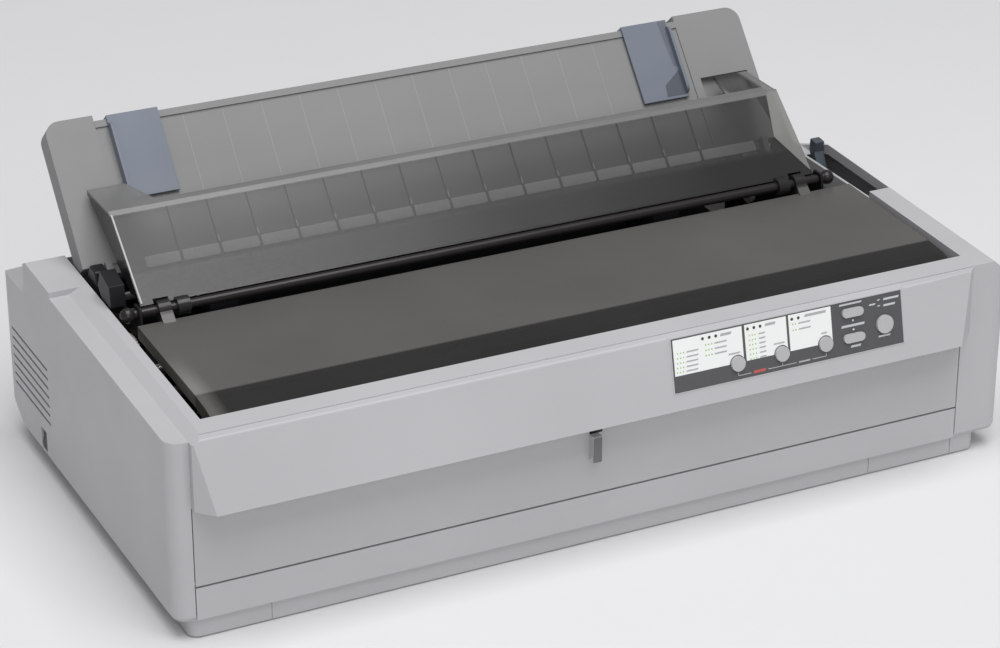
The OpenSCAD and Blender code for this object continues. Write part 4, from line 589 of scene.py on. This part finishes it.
class PRINTER_OT_case(bpy.types.Operator):
    """Rounds the upper and lower case and the front door"""
    bl_idname = "printer.case"
    bl_label = "Case"

    def execute(self, context):
        width = settings().edge_round
        shell = merged_copy("upper_case")

        def front_sheet(face):
            middle = face.calc_center_median()
            face_on = face.normal.dot(Vector((0, -0.9754, 0.2204))) > 0.998
            band = face.normal.dot(Vector((0, -0.0764, 0.9971))) > 0.998
            return middle.y < -0.14 and (face_on and middle.y < -0.168 or band and middle.z > 0.147)

        # The panel's stretch of the top band runs a little further down
        for x in CREASE_STEPS:
            faces = [face for face in shell.faces if front_sheet(face)]
            bmesh.ops.bisect_plane(shell, geom=with_borders(faces), plane_co=(x, 0, 0),
                                   plane_no=(1, 0, 0), dist=0.00001)
        faces = [face for face in shell.faces if front_sheet(face)
                 and 0.036 < face.calc_center_median().x < 0.2255 and face.normal.z > 0.9]
        bmesh.ops.bisect_plane(shell, geom=with_borders(faces), plane_co=(0, -0.162, 0),
                               plane_no=(0, 1, 0), dist=0.00001)
        lowered = [vertex for vertex in shell.verts if 0.039 < vertex.co.x < 0.2225
                   and abs(vertex.co.y - CREASE_Y) < 0.0002 and abs(vertex.co.z - CREASE_Z) < 0.0002]
        bmesh.ops.translate(shell, verts=lowered, vec=(0, -0.9 * MM * math.sin(FASCIA_LEAN),
                                                       -0.9 * MM * math.cos(FASCIA_LEAN)))
        mark_curved(shell)

        def on_crease(edge):
            a, b = (vertex.co for vertex in edge.verts)
            outside = max(a.x, b.x) < 0.0356 or min(a.x, b.x) > 0.2259
            return outside and all(abs(end.y - CREASE_Y) < 0.0004 and abs(end.z - CREASE_Z) < 0.0004
                                   for end in (a, b))

        round_edges(shell, sharp_edges(shell, 20.0, on_crease), 2.6, 4)
        round_all(shell, width, 3, 24.0, 0.3)
        upper = to_piece("upper_case_skin", shell, "case plastic", "chassis")
        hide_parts("upper_case")
        skin("lower_case", "case plastic", 0.8, 3)
        skin("front_door", "door plastic", 0.8, 3)
        skin("rubber_feet", "foot rubber", 0.4, 2)
        # Painted shade: a darker face on the finger tab, and a black plate for the shadowed slot over it
        face = outline([(-18.2, 67), (-11.8, 67), (-11.8, 85.6), (-18.2, 85.6)], -0.35,
                       Matrix.Translation((0, -0.17145, 0)), 0.8)
        to_piece("finger_tab_shade", face, "shadow plastic", "front_door")
        slot = outline([(-18.4, 86.4), (-8.5, 86.4), (-8.5, 90.5), (-18.4, 90.5)], -0.25,
                       Matrix.Translation((0, -0.16545, 0)), 0.8)
        to_piece("finger_tab_slot_shade", slot, "black plastic", "front_door")
        return {"FINISHED"}


class PRINTER_OT_covers(bpy.types.Operator):
    """Builds the two smoked covers and their rod"""
    bl_idname = "printer.covers"
    bl_label = "Smoked covers"

    def execute(self, context):
        skin("front_smoke_cover", "front smoke", 0.9, 3, 10.0)
        skin("rear_smoke_cover", "rear smoke", 0.9, 3, 10.0)
        skin("cover_rod", "rod plastic", 0.3, 2, 50.0)
        skin("hinge_caps", "black plastic", 1.4, 4)
        # Painted highlight along the left edge, and a painted sheen on the folded corner on the right
        edge = outline([(-272.4, 6.0), (-271.2, 6.0), (-271.2, 76.0), (-272.4, 76.0)], -0.3,
                       REAR_COVER @ Matrix.Translation((0, -1.3 * MM, 0)), 0.5)
        to_piece("rear_cover_edge_highlight", edge, "smoke edge highlight", "rear_cover")
        corner = outline([(249.4, 77.5), (240.6, 40.0), (257.8, 8.0), (258.6, 8.0), (258.6, 77.5)], -0.3,
                         REAR_COVER @ Matrix.Translation((0, -1.3 * MM, 0)), 0.4)
        to_piece("rear_cover_corner_sheen", corner, "smoke facet sheen", "rear_cover")
        return {"FINISHED"}


class PRINTER_OT_paper_guide(bpy.types.Operator):
    """Rounds the paper guide and its edge guides"""
    bl_idname = "printer.paper_guide"
    bl_label = "Paper guide"

    def execute(self, context):
        skin("paper_guide", "guide plastic", 1.6, 4)
        # Painted highlight: lighter lines stand in for the lit sides of the shallow grooves
        lines = [outline([(x - 0.35, 56.5), (x + 0.35, 56.5), (x + 0.35, 116.0), (x - 0.35, 116.0)],
                         -0.12, GUIDE @ Matrix.Translation((0, 1.02 * MM, 0))) for x in RIBS]
        to_piece("guide_line_highlights", joined(*lines), "guide line highlight", "paper_guide")
        # Painted highlight: light bars along the bend of the guide, split at the ribs
        ends = [-245.0] + RIBS + [251.0]
        bars = []
        for left, right in zip(ends, ends[1:]):
            bar = outline([(left + 1.4, 9.5), (right - 0.9, 9.5), (right - 0.9, 17.5), (left + 1.4, 17.5)],
                          -1.6, GUIDE @ Matrix.Translation((0, 1.1 * MM, 0)), 1.2, 3)
            bars.append(bar)
        to_piece("guide_bend_highlight", joined(*bars), "guide bend highlight", "paper_guide")
        # Painted shade on the rib sides under the bars, and painted glints on the rib tops over them
        on_bend = GUIDE @ Matrix.Translation((0, -1.52 * MM, 0))
        rib_shades = [outline([(x - 0.1, 5.0), (x + 0.9, 5.0), (x + 0.1, 13.5), (x - 0.8, 13.5)],
                             -0.15, on_bend) for x in RIBS[1:]]
        to_piece("guide_rib_shade_lines", joined(*rib_shades), "shadow plastic", "paper_guide")
        glints = [outline([(x - 0.5, 18.6), (x + 0.4, 18.6), (x + 0.1, 23.5), (x - 0.4, 23.5)], -0.15,
                          on_bend, 0.3) for x in RIBS[1:]]
        to_piece("guide_rib_glints", joined(*glints), "guide bend highlight", "paper_guide")
        for node in ("left_edge_guide", "right_edge_guide"):
            plate = merged_copy(node)
            mesh_place = GUIDE.inverted()

            def nose(edge):
                a, b = (mesh_place @ vertex.co for vertex in edge.verts)
                lowest = (a.y + b.y) / 2 < -6.9 * MM
                return lowest and abs(a.z - b.z) < 0.0001 and abs(a.x - b.x) > 0.001

            round_edges(plate, sharp_edges(plate, 60.0, nose), 4.6, 7)
            broad = max((face for face in plate.faces if (mesh_place.to_3x3() @ face.normal).y < -0.99),
                        key=lambda face: face.calc_area())
            level = (mesh_place @ broad.calc_center_median()).y / MM
            corners = [mesh_place @ vertex.co for vertex in broad.verts]
            low = [min(corner[i] for corner in corners) / MM for i in range(3)]
            high = [max(corner[i] for corner in corners) / MM for i in range(3)]
            round_all(plate, 0.5, 3, 30.0, 0.15)
            # Painted shade: the faces turned to the left get a darker copy of the finish
            for face in plate.faces:
                if face.normal.x < -0.7:
                    face.material_index = 1
            body = frame["nodes"][node]["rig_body"]
            piece = to_piece(node + "_skin", plate, "edge guide plastic", body)
            piece.data.materials.append(finish("edge guide side shade"))
            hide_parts(node)
            if node == "right_edge_guide":
                self.stepped_corner(low, high, level, body)
        return {"FINISHED"}

    @staticmethod
    def stepped_corner(low, high, level, body):
        """Painted shade: darker flat plates for the sunk strip and the sloping step along the inner side of
        the right edge guide.
        """
        def at(across, up):
            return (low[0] + across * (high[0] - low[0]), low[2] + up * (high[2] - low[2]))

        face = GUIDE @ Matrix.Translation((0, (level - 0.01) * MM, 0))
        strip = outline([at(0.87, 0.4), at(0.975, 0.4), at(0.975, 0.985), at(0.8, 0.985)], -0.12, face, 0.3)
        to_piece("edge_guide_strip_shade", strip, "edge guide strip shade", body)
        slope = outline([at(0.53, 0.03), at(0.975, 0.03), at(0.975, 0.36), at(0.56, 0.18)], -0.12, face, 0.3)
        to_piece("edge_guide_slope_shade", slope, "edge guide side shade", body)


class PRINTER_OT_control_panel(bpy.types.Operator):
    """Builds the printed control panel with its buttons and lamps"""
    bl_idname = "printer.control_panel"
    bl_label = "Control panel"

    def execute(self, context):
        skin("control_panel", "panel film", 0.15, 1)
        skin("indicator_lamps", "dark lens", 0.2, 2, 50.0)
        for node in ("font_button", "pitch_button", "tear_off_button", "load_button",
                     "line_feed_button", "pause_button"):
            skin(node, "button plastic", 0.5, 3, 50.0)
        left, middle, right = BUTTON_XS
        fields = joined(field(40.4, 24.4, 94.2, 49.6, left, BUTTON_REACH),
                        field(96.2, 24.4, 129.2, 49.7, middle, BUTTON_REACH),
                        field(131.0, 24.3, 165.0, 49.8, right, BUTTON_REACH))
        to_piece("panel_fields", fields, "white print", "chassis")
        greens, greys, lights = [], [], []
        for x, z in [(43.6, 39.9), (43.3, 36.5), (43.0, 33.1), (42.7, 29.8), (42.4, 26.6)]:
            greens += [dot(x, z, 0.55), dot(x + 2.3, z, 0.55), dot(x + 4.6, z, 0.55)]
            greys.append(mark(x + 11.5, z, 9.0))
        for x, z in [(65.6, 41.8), (65.4, 38.1), (65.2, 34.4)]:
            greens += [dot(x, z, 0.6), dot(x + 2.3, z, 0.6), dot(x + 4.6, z, 0.6)]
            greys.append(mark(x + 11.5, z, 9.5))
        for i in range(6):
            z = 41.6 - 3.3 * i
            greens += [dot(99.6, z, 0.55), dot(101.9, z, 0.55), dot(104.2, z, 0.55)]
            greys.append(mark(109.5, z, 5.0))
        for z in (42.8, 38.6):
            greens += [dot(134.2, z, 0.55), dot(136.4, z, 0.55)]
            greys.append(mark(143.5, z, 9.5))
        greys += [mark(81.5, 46.5, 8.5, 1.9), mark(116.5, 46.8, 8.0, 1.9), mark(152.5, 47.1, 17.0, 1.9),
                  mark(87.0, 31.6, 9.0, 1.1), mark(122.5, 31.8, 8.5, 1.1), mark(158.5, 32.0, 4.5, 1.1)]
        for x, z, width, height in [
                (181.0, 48.6, 18.0, 1.2), (182.0, 33.0, 18.5, 1.7), (183.3, 18.0, 8.0, 1.6),
                (214.0, 46.6, 12.5, 1.5), (212.3, 42.2, 9.5, 1.5), (206.8, 20.7, 9.5, 1.2),
                (198.5, 44.5, 5.0, 1.1), (203.8, 46.8, 2.0, 0.8), (203.8, 42.6, 2.0, 0.8)]:
            lights.append(mark(x, z, width, height))
        lights += [stud(182.0, z, 0.85, -0.7, -0.5, FASCIA, 16) for z in (30.0, 36.5)]
        for x0, x1 in [(left, 99.0), (112.5, 135.0), (148.0, right)]:
            lights.append(mark((x0 + x1) / 2, 15.4, x1 - x0, 0.4, 0.0))
        for x in BUTTON_XS:
            lights.append(mark(x, 16.4, 0.4, 2.0, 0.0))
        greys.append(mark(141.5, 15.4, 9.0, 1.1))
        to_piece("panel_green_marks", joined(*greens), "green print", "chassis")
        to_piece("panel_grey_marks", joined(*greys), "grey print", "chassis")
        to_piece("panel_light_marks", joined(*lights), "pale print", "chassis")
        to_piece("panel_red_mark", mark(105.7, 15.6, 9.5, 2.0), "red print", "chassis")
        # Raised rim round the film
        bars = [outline([(x0, z0), (x1, z0), (x1, z1), (x0, z1)], -0.35, FASCIA, 0.2)
                for x0, z0, x1, z1 in [(38.2, 11.9, 223.4, 12.6), (38.2, 12.6, 39.2, 50.6),
                                       (222.3, 12.6, 223.4, 50.6)]]
        to_piece("panel_rim", joined(*bars), "case plastic", "chassis")
        return {"FINISHED"}


MECHANISM = (
    ("case_screws", "plated steel", 0.15), ("base_plate", "zinc sheet", 0.3),
    ("left_frame", "dark frame", 0.3), ("right_frame", "dark frame", 0.3),
    ("bearings", "gear plastic", 0.3), ("guide_rails", "ground steel", 0.4),
    ("feed_motor", "motor steel", 0.6), ("paper_chute", "tractor plastic", 0.4),
    ("carriage_motor", "motor steel", 0.6), ("belt_tensioner", "zinc sheet", 0.2),
    ("drive_belt", "belt rubber", 0.2), ("feed_pinion", "brass", 0.1),
    ("platen_core", "turned aluminium", 0.4), ("platen_rubber", "platen rubber", 0.6),
    ("platen_gear", "gear plastic", 0.1), ("platen_knob", "black plastic", 0.5),
    ("idler_gear", "gear plastic", 0.1), ("tractor_shaft", "ground steel", 0.2),
    ("left_tractor", "tractor plastic", 0.5), ("right_tractor", "tractor plastic", 0.5),
    ("left_gate", "tractor plastic", 0.4), ("right_gate", "tractor plastic", 0.4),
    ("left_sprocket", "gear plastic", 0.2), ("right_sprocket", "gear plastic", 0.2),
    ("drive_pulley", "brass", 0.3), ("idler_pulley", "gear plastic", 0.3),
    ("carriage", "tractor plastic", 0.5), ("print_head", "cast head", 0.3),
    ("ribbon_cartridge", "ribbon plastic", 0.8), ("ribbon_knob", "black plastic", 0.6),
)
ELECTRICS = (
    ("switch_board", "circuit board", 0.15), ("main_board", "circuit board", 0.15),
    ("power_supply", "plated steel", 0.3), ("fan_housing", "black plastic", 0.4),
    ("fan_rotor", "black plastic", 0.2), ("data_ports", "plated steel", 0.3),
    ("ac_inlet", "black plastic", 0.4), ("port_panel", "plated steel", 0.3),
    ("power_switch", "black plastic", 0.3), ("release_lever", "lever plastic", 0.8),
    ("thickness_lever", "black plastic", 1.2),
)


class PRINTER_OT_mechanism(bpy.types.Operator):
    """Finishes the carriage, the platen and the paper feed"""
    bl_idname = "printer.mechanism"
    bl_label = "Mechanism"

    def execute(self, context):
        for node, material, width in MECHANISM:
            skin(node, material, width)
        return {"FINISHED"}


class PRINTER_OT_electrics(bpy.types.Operator):
    """Finishes the boards, the ports, the fan and the levers"""
    bl_idname = "printer.electrics"
    bl_label = "Electrics and levers"

    def execute(self, context):
        for node, material, width in ELECTRICS:
            skin(node, material, width)
        return {"FINISHED"}


class PRINTER_OT_stage(bpy.types.Operator):
    """Builds the floor, the lamps and the camera"""
    bl_idname = "printer.stage"
    bl_label = "Stage"

    def execute(self, context):
        scene = context.scene
        scene.view_settings.view_transform = "Standard"
        floor_mesh = bmesh.new()
        bmesh.ops.create_grid(floor_mesh, x_segments=1, y_segments=1, size=9.0)
        mesh = bpy.data.meshes.new("floor")
        floor_mesh.to_mesh(mesh)
        floor_mesh.free()
        floor = bpy.data.objects.new("floor", mesh)
        scene.collection.objects.link(floor)
        mesh.materials.append(moulded_plastic("floor paper", (0.76, 0.76, 0.765, 1), 0.8, 60.0,
                                              0.0001, 0.05, 0.004, 0.2))
        world = bpy.data.worlds.new("studio") if scene.world is None else scene.world
        scene.world = world
        world.use_nodes = True
        tree = world.node_tree
        background = tree.nodes["Background"]
        background.inputs["Color"].default_value = (0.93, 0.94, 0.96, 1)
        path = add(tree, "ShaderNodeLightPath", (-600, 200))
        level = add(tree, "ShaderNodeMapRange", (-300, 200))
        level.inputs["To Min"].default_value = 0.27
        level.inputs["To Max"].default_value = 0.9
        link(tree, path.outputs["Is Camera Ray"], level.inputs["Value"])
        link(tree, level.outputs["Result"], background.inputs["Strength"])
        for name, place, aim, size, power in (
                ("overhead softbox", (-0.1, -1.2, 4.4), (0, 0, 0), 3.8, 188.0),
                ("front softbox", (-0.9, -4.5, 2.3), (0, 0, 0.1), 2.6, 44.0)):
            lamp = bpy.data.lights.new(name, "AREA")
            lamp.energy = power
            lamp.shape = "SQUARE"
            lamp.size = size
            holder = bpy.data.objects.new(name, lamp)
            scene.collection.objects.link(holder)
            holder.location = place
            holder.rotation_euler = (Vector(aim) - Vector(place)).to_track_quat("-Z", "Y").to_euler()
        lens = bpy.data.cameras.new("camera")
        lens.lens = 111.05
        lens.sensor_width = 36.0
        lens.clip_start = 0.05
        lens.clip_end = 40.0
        camera = bpy.data.objects.new("camera", lens)
        scene.collection.objects.link(camera)
        azimuth, elevation = math.radians(-26.085), math.radians(25.475)
        camera.location = (-0.88754, -1.80317, 1.05191)
        camera.rotation_euler = (math.pi / 2 - elevation, 0, azimuth)
        scene.camera = camera
        return {"FINISHED"}


class PRINTER_PT_panel(bpy.types.Panel):
    """Lists the printer's settings and its steps"""
    bl_idname = "PRINTER_PT_panel"
    bl_label = "Dot Matrix Printer"
    bl_space_type = "VIEW_3D"
    bl_region_type = "UI"
    bl_category = "Printer"

    def draw(self, context):
        layout = self.layout
        values = getattr(context.scene, SETTINGS)
        for name in PrinterColours.__annotations__:
            layout.prop(values, name)
        for item in STEPS:
            layout.operator(item.bl_idname)


STEPS = (
    PRINTER_OT_case, PRINTER_OT_covers, PRINTER_OT_paper_guide, PRINTER_OT_control_panel,
    PRINTER_OT_mechanism, PRINTER_OT_electrics, PRINTER_OT_stage,
)
CLASSES = (PrinterColours,) + STEPS + (PRINTER_PT_panel,)


def register():
    for item in CLASSES:
        bpy.utils.register_class(item)
    setattr(bpy.types.Scene, SETTINGS, bpy.props.PointerProperty(type=PrinterColours))


def unregister():
    delattr(bpy.types.Scene, SETTINGS)
    for item in reversed(CLASSES):
        bpy.utils.unregister_class(item)


def main():
    """Runs every step in order."""
    register()
    bpy.ops.printer.case()
    bpy.ops.printer.covers()
    bpy.ops.printer.paper_guide()
    bpy.ops.printer.control_panel()
    bpy.ops.printer.mechanism()
    bpy.ops.printer.electrics()
    bpy.ops.printer.stage()


if __name__ == "__main__":
    main()
